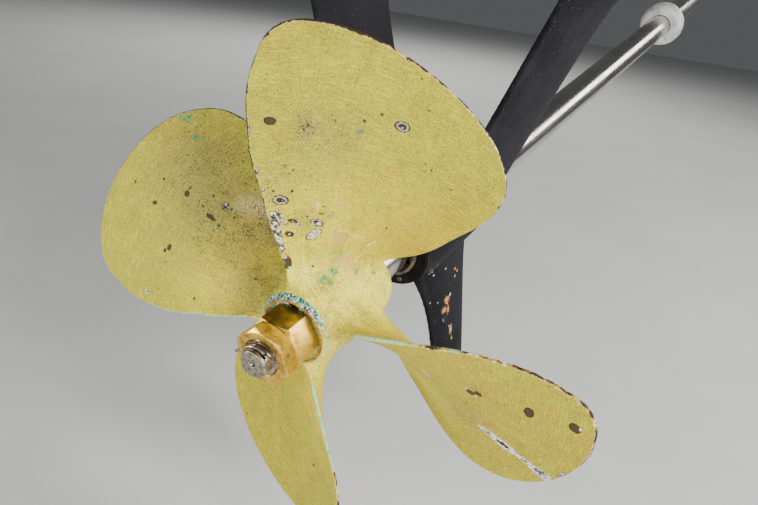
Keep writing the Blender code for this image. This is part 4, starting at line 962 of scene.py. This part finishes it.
def makeShaft():
    s = shaft
    low, high = s["threadAft"], s["threadForward"]
    taperAft = s["radius"] - (s["taperForward"] - high) * s["taper"]
    profile = [(s["forwardEnd"], 0.0)] + softened([
        (s["forwardEnd"], 0.004), (s["forwardEnd"], s["radius"] - s["chamfer"]),
        (s["forwardEnd"] - s["chamfer"], s["radius"]), (1.2, s["radius"]), (0.6, s["radius"]),
        (s["taperForward"], s["radius"]), (high, taperAft)], 0.0006)
    profile += [(a, s["threadRadius"]) for a in np.arange(high, low + 0.0004, -s["threadStep"])]
    profile += softened([
        (low, s["threadRadius"] - s["threadDepth"]), (low, s["pinRadius"]),
        (s["end"] + s["pinChamfer"], s["pinRadius"]), (s["end"], s["pinRadius"] - s["pinChamfer"]),
        (s["end"], s["drillRadius"]), (s["end"] + s["drillDepth"], 0.0)], 0.0004)

    def threaded(along, radius, angle):
        turn = np.mod(along / s["threadPitch"] + angle / (2 * np.pi), 1.0)
        groove = np.clip(1.25 - np.abs(turn - 0.5) * 3.0, 0, 1) * s["threadDepth"]
        run = np.clip((along - low) / 0.0015, 0, 1) * np.clip((high - along) / 0.003, 0, 1)
        return radius - groove * run * ((along > low) & (along < high))

    obj = turnedForm("shaft_line", profile, s["sides"], carve=threaded)
    keyway = boxForm("keyway", (-s["keywayHalf"], s["keyAft"] - s["keyRoom"], s["keywayFloor"]),
                     (s["keywayHalf"], s["keyForward"] + s["keyRoom"], 0.04))
    hole = rodForm("hole", s["pinHole"], 0.08, 24, moved(y=cotter["along"]) @ turned(cotter["clock"]))
    settle(cut(obj, [keyway, hole]), "rotor", "stainless", ["propeller_shaft"])


def makeKey():
    s = shaft
    key = boxForm("drive_key", (-s["keyWidth"] / 2, s["keyAft"], s["radius"] - s["keyHeight"] / 2),
                  (s["keyWidth"] / 2, s["keyForward"], s["radius"] + s["keyHeight"] / 2), 0.0006)
    settle(key, "rotor", "bronze", ["shaft_key"])


def makeNut(name, node, forward, length, clock):
    n = nuts
    flat, bore, ease = n["acrossFlats"] / 2, n["bore"], n["boreChamfer"]
    corner = flat / math.cos(math.pi / 6)
    aft = forward - length
    hexagon = rodForm(name, corner, length, 6,
                      moved(y=(forward + aft) / 2) @ turned(-90.0, "X") @ turned(clock, "Z"))
    envelope = turnedForm("envelope", [
        (forward, bore + ease), (forward, flat - 0.001), (forward - n["chamfer"], corner + 0.002),
        (aft + n["chamfer"], corner + 0.002), (aft, flat - 0.001), (aft, bore + ease), (aft + ease, bore),
        (forward - ease, bore)], 192, closed=True)
    hexagon = cut(hexagon, [envelope], "INTERSECT")
    with edited(hexagon.data) as shape:
        bmesh.ops.remove_doubles(shape, verts=shape.verts, dist=1e-5)
        bmesh.ops.dissolve_limit(shape, angle_limit=math.radians(0.5), verts=shape.verts, edges=shape.edges)
        sharp = [e for e in shape.edges if len(e.link_faces) == 2 and e.calc_face_angle(0) > math.radians(20)
                 and min(v.co.xz.length for v in e.verts) > bore + 0.004]
        bmesh.ops.bevel(shape, geom=sharp, offset=n["edge"], segments=2, affect="EDGES", profile=0.6,
                        clamp_overlap=True)
    settle(hexagon, "rotor", "bronze", [node], sharp=30.0)


def makeCotter():
    c = cotter
    half = c["wire"] + c["splay"]
    over = shaft["pinRadius"] + c["wire"] + c["room"]
    wrap, mouth = math.radians(c["wrap"]), math.pi / 2 + math.radians(c["mouth"])
    bend = arcPoints((0, 0), over, math.pi / 2 + wrap, math.pi / 2 + math.asin(half / over), 12)
    side, out = bend[0]
    tip = (side - c["longTail"] * math.cos(wrap), out - c["longTail"] * math.sin(wrap))
    eye = arcPoints((0, -over - c["eye"]), c["eye"], mouth, 3 * math.pi - mouth, 24)
    tail = (half + c["shortTail"], over + c["shortTail"] / 2)
    route = [tip] + bend + [(-half, 0.0)] + eye + [(half, 0.0), (half, over), tail]
    curve = bpy.data.curves.new("split_pin", "CURVE")
    curve.dimensions = "3D"
    curve.bevel_depth = c["wire"]
    curve.bevel_resolution = 4
    curve.use_fill_caps = True
    line = curve.splines.new("POLY")
    line.points.add(len(route) - 1)
    for point, (x, z) in zip(line.points, route):
        point.co = (x, 0.0, z, 1.0)
    pin = applied(showObject("split_pin", curve))
    tidyMesh(pin.data)
    pin.data.transform(moved(y=c["along"]) @ turned(c["clock"]))
    settle(pin, "rotor", "stainless", ["cotter_pin"])


makeShaft()
makeKey()
makeNut("large_nut", "full_nut", *nuts["full"])
makeNut("thin_nut", "jam_nut", *nuts["jam"])
makeCotter()
print("shaft, key, nuts and cotter pin made")

# The collar anode in two halves
anode = {
    "along": 1.505, "radius": 0.050, "length": 0.056, "shoulder": 0.036, "rim": 0.4, "split": 0.0012,
    "clock": 55.0, "bore": 0.0257, "boreChamfer": 0.001, "screwReach": 0.0335, "headHeight": 0.0215,
    "headLength": 0.0075, "headRadius": 0.0066, "shank": 0.037, "shankRadius": 0.004, "gap": 0.0003,
    "socket": 0.0036, "socketDepth": 0.004,
}
anodeCentre = moved(y=anode["along"]) @ turned(anode["clock"])


def anodeScrew(name, gap, recess):
    a = anode
    head, shank = a["headRadius"] + gap, a["shankRadius"] + gap
    top, foot = a["headHeight"] + recess, a["headHeight"] - a["shank"] - gap
    shoulder = a["headHeight"] - a["headLength"] - gap
    profile = softened([(foot, 0.0), (foot, shank), (shoulder, shank), (shoulder, head), (top, head),
                        (top, 0.0)], 0.0005)
    return turnedForm(name, profile, 40, matrix=turned(90.0, "X"))


def screwPair(screw, finish):
    pair = pairCopies().run(screw, {"Half distance": anode["screwReach"], "Finish": finishes[finish]})
    pair.data.transform(anodeCentre)
    return pair


def makeAnode():
    a = anode
    half, ease, reach = a["length"] / 2, a["boreChamfer"], 0.12
    rim = half * a["rim"]
    arc = [(rim + (half - rim) * math.cos(t), a["shoulder"] + (a["radius"] - a["shoulder"]) * math.sin(t))
           for t in numberLine(0, math.pi / 2, 12)]
    flat = [(x, a["radius"]) for x in numberLine(rim, -rim, 8)[1:-1]]
    inside = [(-half, a["bore"] + ease), (-half + ease, a["bore"]), (half - ease, a["bore"]),
              (half, a["bore"] + ease)]
    profile = arc + flat + [(-x, r) for x, r in reversed(arc)] + inside
    halves = (("anode_upper", "anode_upper_half", -1), ("anode_lower", "anode_lower_half", 1))
    for name, node, away in halves:
        obj = turnedForm(name, profile, 160, closed=True)
        co = readVertices(obj.data)
        pitted = noiseAt(co, 95.0, 2.0) * 0.0004 + noiseAt(co, 330.0, 4.0) * 0.00018 - 0.0003
        pitted = np.where(np.hypot(co[:, 0], co[:, 2]) > a["bore"] + 0.004, pitted, 0)[:, None]
        moveVertices(obj.data, co + readVertices(obj.data, "normal") * pitted)
        obj.data.transform(moved(y=a["along"]))
        otherHalf = boxForm("space", (-reach, -reach, -reach / 2), (reach, reach, reach / 2),
                            matrix=anodeCentre @ moved(z=away * (reach - a["split"]) / 2))
        obj = cut(obj, [otherHalf, screwPair(anodeScrew("holes", a["gap"], 0.05), "zinc")])
        settle(obj, "rotor", "zinc", [node], sharp=40.0)
    socket = rodForm("socket", a["socket"], 2 * a["socketDepth"], 6, moved(z=a["headHeight"]))
    screws = screwPair(cut(anodeScrew("anode_screws", 0.0, 0.0), [socket]), "stainless")
    settle(screws, "rotor", "stainless", ["anode_screw_1", "anode_screw_2"])


makeAnode()
print("anode made")

# The strut, one casting of barrel, arms, fin and pads
strut = {
    "barrelLength": 0.209, "endRadius": 0.0475, "middleRadius": 0.0525, "bore": 0.0334, "belowHull": 0.340,
    "armAngle": math.radians(20.7), "armOffset": 0.044, "armAft": -0.122, "armForward": 0.053,
    "armThickness": 0.022, "armBlunt": 0.007, "footHeight": -0.030, "rootHeight": -0.018, "rootReach": 0.030,
    "rootAft": 0.020, "rootForward": 0.045, "headReach": 0.035, "headForward": 0.070,
    "finDepth": 0.255, "finLean": math.radians(9.5), "finForward": 0.100, "finAft": 0.010,
    "finRootAft": 0.0945, "finAftLimit": -0.085, "finThickness": 0.018, "finBlunt": 0.006,
    "finRootBlunt": 0.0075, "finSwell": 1.4, "finRoot": 0.0493, "padLength": 0.270, "padWidth": 0.116,
    "padThickness": 0.015, "padCorner": 0.030, "overLength": 0.006, "barrelEdge": 0.0012, "voxel": 0.0023,
    "smoothing": 5, "filletSmoothing": 45, "filletReach": 0.011, "filletFade": 0.012,
}
padBolts = {"along": 0.200, "across": 0.072, "radius": 0.0079, "head": 0.015, "sink": 0.0075, "rim": 0.0008,
            "room": 0.0003, "slotHalf": 0.0012, "slotDepth": 0.0025}
padCentre = -2 * (strut["armOffset"] + strut["belowHull"] * math.tan(strut["armAngle"]))


def lensOutline(aft, forward, thickness, blunt, steps=18):
    share = -np.cos(np.pi * np.arange(steps + 1) / steps)
    fullness = np.clip(1 - np.abs(share) ** 2.6, 0, 1)
    side = np.maximum(thickness / 2 * fullness**0.8, blunt / 2 * (1 - share) / 2)
    along = (aft + forward) / 2 + share * (forward - aft) / 2
    return np.concatenate([along, along[::-1]]), np.concatenate([side, -side[::-1]])


def armForm(sign):
    s = strut
    top = s["belowHull"] - s["padThickness"] / 2
    rows = []
    for share in numberLine(0, 1, 56):
        height = s["footHeight"] + (top - s["footHeight"]) * share
        root = math.exp(-max(height - s["rootHeight"], 0) / s["rootReach"])
        head = math.exp(-(top - height) / s["headReach"])
        thickness = s["armThickness"] * (1 + 0.05 * root + 0.6 * head) * (0.36 + 0.64 * min(share * 14, 1))
        forward = s["armForward"] + s["rootForward"] * root + s["headForward"] * head
        along, across = lensOutline(s["armAft"] + s["rootAft"] * root, forward, thickness,
                                    min(s["armBlunt"], thickness))
        z = height + along * math.tan(shaftSlope) * (1 - share)
        middle = sign * (s["armOffset"] + z * math.tan(s["armAngle"]))
        rows.append(np.stack([middle + across / math.cos(s["armAngle"]), along, z], -1))
    return gridForm("arm_form", rows, matrix=Matrix.Translation(barrelCentre))


def finForm():
    s = strut
    top = s["bore"] + 0.006

    def nearRoot(depth, reach):
        return math.exp(-(depth - s["finRoot"]) / reach)

    def afterEdge(depth):
        return max(s["finAft"] - s["finRootAft"] * nearRoot(depth, 0.061), s["finAftLimit"])

    rows = []
    for step in numberLine(0, 1, 48):
        depth = top + (s["finDepth"] - top) * math.sin(math.pi / 2 * step)
        share = depth / s["finDepth"]
        slope = math.tan(shaftSlope) * (1 - share)
        rounding = 0.25 + 0.75 * math.sqrt(max(1 - share**24, 0))
        aft = afterEdge(depth - afterEdge(depth) * slope)
        middle, half = (aft + s["finForward"]) / 2, (s["finForward"] - aft) / 2 * rounding
        swell = 1 + s["finSwell"] * nearRoot(depth, 0.035)
        blunt = s["finBlunt"] + s["finRootBlunt"] * nearRoot(depth, 0.05)
        along, across = lensOutline(middle - half, middle + half, s["finThickness"] * swell * rounding,
                                    blunt * rounding)
        down = depth - along * slope
        rows.append(np.stack([down * math.tan(s["finLean"]) + across, along, -down], -1))
    return gridForm("fin_form", rows, matrix=Matrix.Translation(barrelCentre))


def padForm(centre):
    s = strut
    halfX, halfY, corner, depth = s["padWidth"] / 2, s["padLength"] / 2, s["padCorner"], s["padThickness"]
    rows = []
    for height, inset in ((-depth, 0.003), (-depth + 0.0012, 0.0008), (-depth + 0.003, 0.0), (0.006, 0.0)):
        outline = []
        for i, (x, y) in enumerate(((1, 1), (-1, 1), (-1, -1), (1, -1))):
            outline += arcPoints((x * (halfX - corner), y * (halfY - corner)), corner - inset,
                                 i * math.pi / 2, (i + 1) * math.pi / 2, 12)
        rows.append([(x + centre, y, height) for x, y in outline])
    return gridForm("pad_form", rows)


def barrelForm():
    # a little too long at each end; barrelTrim cuts it back after the skin is evened out
    half, end, middle = strut["barrelLength"] / 2, strut["endRadius"], strut["middleRadius"]
    half += strut["overLength"]
    profile = softened([(half, 0.0), (half, end), (half * 0.45, middle), (-half * 0.45, middle),
                        (-half, end), (-half, 0.0)], 0.005)
    return turnedForm("barrel_form", profile, matrix=barrelFrame)


def barrelTrim(turn):
    half, edge, end = strut["barrelLength"] / 2, strut["barrelEdge"], strut["endRadius"]
    beyond, wide = half + 0.04, 0.056
    profile = [(beyond, 0.0), (beyond, wide), (half - edge, wide), (half - edge, end + 0.0004),
               (half, end - edge), (half, 0.0)]
    trim = turnedForm("barrel_trim", profile, matrix=turned(turn, "X"))
    trim.data.transform(barrelFrame)
    return trim


def joined(name, objects):
    mesh = bpy.data.meshes.new(name)
    with edited(mesh) as shape:
        for obj in objects:
            shape.from_mesh(obj.data)
            bpy.data.objects.remove(obj)
    return showObject(name, mesh)


def relax(mesh, weights, rounds):
    # evens the skin out, most where the weight is 1
    co = readVertices(mesh)
    pairs = np.empty(len(mesh.edges) * 2, np.int32)
    mesh.edges.foreach_get("vertices", pairs)
    first, second = pairs.reshape(-1, 2).T
    count = np.bincount(pairs, minlength=len(co))[:, None]
    for _ in range(rounds):
        total = np.stack([np.bincount(first, co[second, i], len(co))
                          + np.bincount(second, co[first, i], len(co)) for i in range(3)], -1)
        co = co + (total / np.maximum(count, 1) - co) * 0.5 * weights[:, None]
    moveVertices(mesh, co)


def castStrut():
    # one skin over all the forms, evened out most where they meet
    s = strut
    casting = joined("strut_body", [armForm(1), armForm(-1), finForm(), barrelForm(), padForm(0.0),
                                    padForm(padCentre)])
    step = casting.modifiers.new("cast", "REMESH")
    step.mode = "VOXEL"
    step.voxel_size = s["voxel"]
    casting = applied(casting)
    co = readVertices(casting.data)
    relax(casting.data, np.ones(len(co)), s["smoothing"])
    local = np.array([shaftFrame.inverted() @ Vector(p) for p in co])
    offBarrel = np.abs(np.hypot(local[:, 0], local[:, 2]) - s["middleRadius"])
    clear = s["barrelLength"] / 2 - 0.002 - np.abs(local[:, 1] - barrelAlong)
    nearPad = np.exp(-((co[:, 2] + s["padThickness"]) / s["filletFade"]) ** 2)
    fromSide = s["padWidth"] / 2 - np.abs(np.mod(co[:, 0] - padCentre / 2, -padCentre) + padCentre / 2)
    edgeFree = np.clip((np.minimum(fromSide, s["padLength"] / 2 - np.abs(co[:, 1])) - 0.008) / 0.01, 0, 1)
    topFree = np.clip((-0.004 - co[:, 2]) / 0.006, 0, 1)
    nearBarrel = np.exp(-(offBarrel / s["filletReach"]) ** 2) * np.clip(clear / s["filletFade"], 0, 1)
    relax(casting.data, np.maximum(nearBarrel, nearPad * edgeFree * topFree), s["filletSmoothing"])
    return casting


def boltForm(name, gap, overrun):
    b = padBolts
    top, foot, face = -b["room"] + overrun, -strut["padThickness"] - overrun, -strut["padThickness"]
    profile = softened([(top, 0.0), (top, b["radius"] + gap), (face + b["sink"] + gap, b["radius"] + gap),
                        (face + b["rim"], b["head"] + gap), (foot, b["head"] + gap), (foot, 0.0)], 0.0003)
    return turnedForm(name, profile, 48, matrix=turned(90.0, "X"))


def onPads(bolt, finish):
    return padCopies().run(bolt, {
        "Spacing along": padBolts["along"], "Spacing across": padBolts["across"],
        "Port pad centre": (padCentre, 0.0, 0.0), "Turn": 3.1, "Seed": 4, "Finish": finishes[finish]})


def makeStrut():
    casting = castStrut()
    aboveHull = boxForm("trim", (-1.0, -0.5, 0.0), (0.5, 0.5, 0.1))
    bore = rodForm("bore", strut["bore"], 0.4, 160, barrelFrame @ turned(90.0, "X"))
    holes = onPads(boltForm("holes", padBolts["room"], 0.004), "paint")
    casting = cut(casting, [aboveHull, bore, holes, barrelTrim(0.0), barrelTrim(180.0)])
    settle(casting, "strut", "paint", ["strut_casting"], Matrix(), 40.0)


def makeBolts():
    face, half = -strut["padThickness"], padBolts["slotHalf"]
    slot = boxForm("slot", (-half, -0.03, face - 0.003), (half, 0.03, face + padBolts["slotDepth"]))
    bolts = onPads(cut(boltForm("pad_bolts", 0.0, 0.0), [slot]), "bronze")
    names = [f"{side}_pad_bolt_{n}" for side in ("starboard", "port") for n in (1, 2, 3, 4)]
    settle(bolts, "strut", "bronze", names, Matrix())


makeStrut()
makeBolts()
print("strut cast and bolted")

# The bearing in the barrel; its screws as radius, length, distance forward of the barrel's end, clock
bearing = {
    "half": 0.1090, "shellOuter": 0.0331, "shellInner": 0.0295, "liningOuter": 0.0292, "liningInner": 0.0260,
    "liningSink": 0.0015, "grooves": 8, "grooveRadius": 0.0028, "setScrew": (0.0040, 0.0120, 0.0090, 180.0),
    "setScrewProud": 0.0020, "faceScrew": (0.0030, 0.0100, -0.0010, 163.0), "slotHalf": 0.0005,
    "slotDepth": 0.0009,
}


def makeBearing():
    b = bearing

    def ring(half, inner, outer):
        return [(half, inner), (half, outer), (-half, outer), (-half, inner)]

    def grooved(along, radius, angle):
        # water grooves in the inner wall
        spacing = 2 * np.pi / b["grooves"]
        off = (np.mod(angle, spacing) - spacing / 2) * b["liningInner"]
        depth = np.sqrt(np.clip(b["grooveRadius"] ** 2 - off**2, 0, None)) * 0.9
        return radius + depth * (radius < b["liningInner"] + 0.0008)

    shell = softened(ring(b["half"], b["shellInner"], b["shellOuter"]), 0.0006, closed=True)
    lining = ring(b["half"] - b["liningSink"], b["liningInner"], b["liningOuter"])
    lining = softened(lining, 0.0004, closed=True)
    settle(turnedForm("bearing_sleeve", shell, 160, closed=True), "strut", "dulled",
           ["bearing_shell"], barrelFrame)
    settle(turnedForm("bearing_staves", lining, 240, closed=True, carve=grooved), "strut", "rubber",
           ["bearing_lining"], barrelFrame)


def makeBearingScrew(name, node, radius, length, ahead, clock, place):
    end, half = length / 2, bearing["slotHalf"]
    profile = softened([(end, 0.0), (end, radius), (-end, radius), (-end, 0.0)], 0.0005)
    screw = turnedForm(name, profile, 40, matrix=turned(90.0, "X"))
    slot = boxForm("slot", (-half, -0.01, end - bearing["slotDepth"]), (half, 0.01, length))
    aft = barrelAlong - strut["barrelLength"] / 2
    settle(cut(screw, [slot]), "strut", "dulled", [node],
           shaftFrame @ moved(y=aft + ahead) @ turned(clock) @ place)


def makeBearingScrews():
    setScrew, faceScrew = bearing["setScrew"], bearing["faceScrew"]
    flush = strut["endRadius"] + bearing["setScrewProud"] - setScrew[1] / 2
    inWall = moved(y=faceScrew[1] / 2, z=(strut["endRadius"] + strut["bore"]) / 2) @ turned(90.0, "X")
    makeBearingScrew("set_screw", "bearing_set_screw", *setScrew, moved(z=flush))
    makeBearingScrew("face_screw", "bearing_face_screw", *faceScrew, inWall)


makeBearing()
makeBearingScrews()
print("bearing made")

# Floor, light and camera
studio = {
    "floorHeight": -0.78, "floorReach": 14.0, "floorTone": (214, 214, 211), "floorShade": 0.94,
    "skyTone": (214, 218, 222), "skyStrength": 0.14,
    # name, place, aim, width, height, power
    "lights": (("key_light", (1.8, -1.2, 0.6), (-0.19, -0.25, -0.38), 1.0, 1.0, 74.0),
               ("side_light", (2.4, 0.8, 1.2), (-0.19, -0.25, -0.38), 1.4, 1.4, 56.0),
               ("back_light", (2.2, 2.2, 0.8), (-0.19, -0.25, -0.38), 1.4, 1.4, 44.0),
               ("low_light", (-1.6, -1.6, -0.45), (-0.19, -0.25, -0.38), 1.0, 0.5, 24.0),
               ("near_light", (0.7, -1.3, -0.36), (-0.10, -0.30, -0.50), 0.6, 0.5, 2.6),
               ("under_light", (-0.22, -1.5, -0.42), (-0.24, -0.3, -0.56), 0.6, 0.5, 4.6),
               ("shaft_light", (1.6, 4.8, 1.5), (-0.17, 1.0, -0.15), 2.2, 1.0, 42.0),
               ("floor_light", (-3.0, 5.0, 2.6), (-2.6, 4.6, -0.78), 4.0, 4.0, 150.0)),
}
view = {
    "place": (0.21478, -0.88131, -0.05613), "forward": (-0.43305, 0.83544, -0.33838),
    "up": (-0.27824, 0.23317, 0.93178), "lens": 36.616, "sensor": 36.0, "nearest": 0.02,
}


def makeFloor():
    mesh = bpy.data.meshes.new("floor")
    reach, height = studio["floorReach"], studio["floorHeight"]
    corners = [(x * reach, y * reach, height) for x, y in ((-1, -1), (1, -1), (1, 1), (-1, 1))]
    mesh.from_pydata(corners, [], [(0, 1, 2, 3)])
    f = Finish("pale_floor", {}, 0.9, specular=0.2, centre=(0, 0, 0), slope=0.0)
    pale = tone(*studio["floorTone"])
    shade = [v * studio["floorShade"] for v in pale]
    f.base(f.span(f.noise(3.0, 3.0), 0.3, 0.7), (*pale, 1.0), (*shade, 1.0))
    mesh.materials.append(f.done())
    showObject("floor", mesh)


def makeLights():
    world = bpy.data.worlds.new("soft_sky")
    bpy.context.scene.world = world
    world.use_nodes = True
    sky = world.node_tree.nodes["Background"]
    sky.inputs["Color"].default_value = (*tone(*studio["skyTone"]), 1.0)
    sky.inputs["Strength"].default_value = studio["skyStrength"]
    for name, place, aim, width, height, power in studio["lights"]:
        light = bpy.data.lights.new(name, "AREA")
        light.shape = "ELLIPSE"
        light.size, light.size_y = width, height
        light.energy = power
        obj = showObject(name, light)
        obj.location = place
        obj.rotation_euler = (Vector(aim) - Vector(place)).to_track_quat("-Z", "Y").to_euler()
        obj.visible_camera = False
        obj.visible_glossy = name != "floor_light"  # its image would lie along the shaft


def makeCamera():
    data = bpy.data.cameras.new("view_camera")
    data.sensor_fit = "HORIZONTAL"
    data.sensor_width = view["sensor"]
    data.lens = view["lens"]
    data.clip_start = view["nearest"]
    camera = showObject("view_camera", data)
    back = -Vector(view["forward"]).normalized()
    right = Vector(view["up"]).cross(back).normalized()
    axes = Matrix((right, back.cross(right), back)).transposed().to_4x4()
    camera.matrix_world = Matrix.Translation(view["place"]) @ axes
    bpy.context.scene.camera = camera


makeFloor()
makeLights()
makeCamera()
print("floor, lights and camera set")
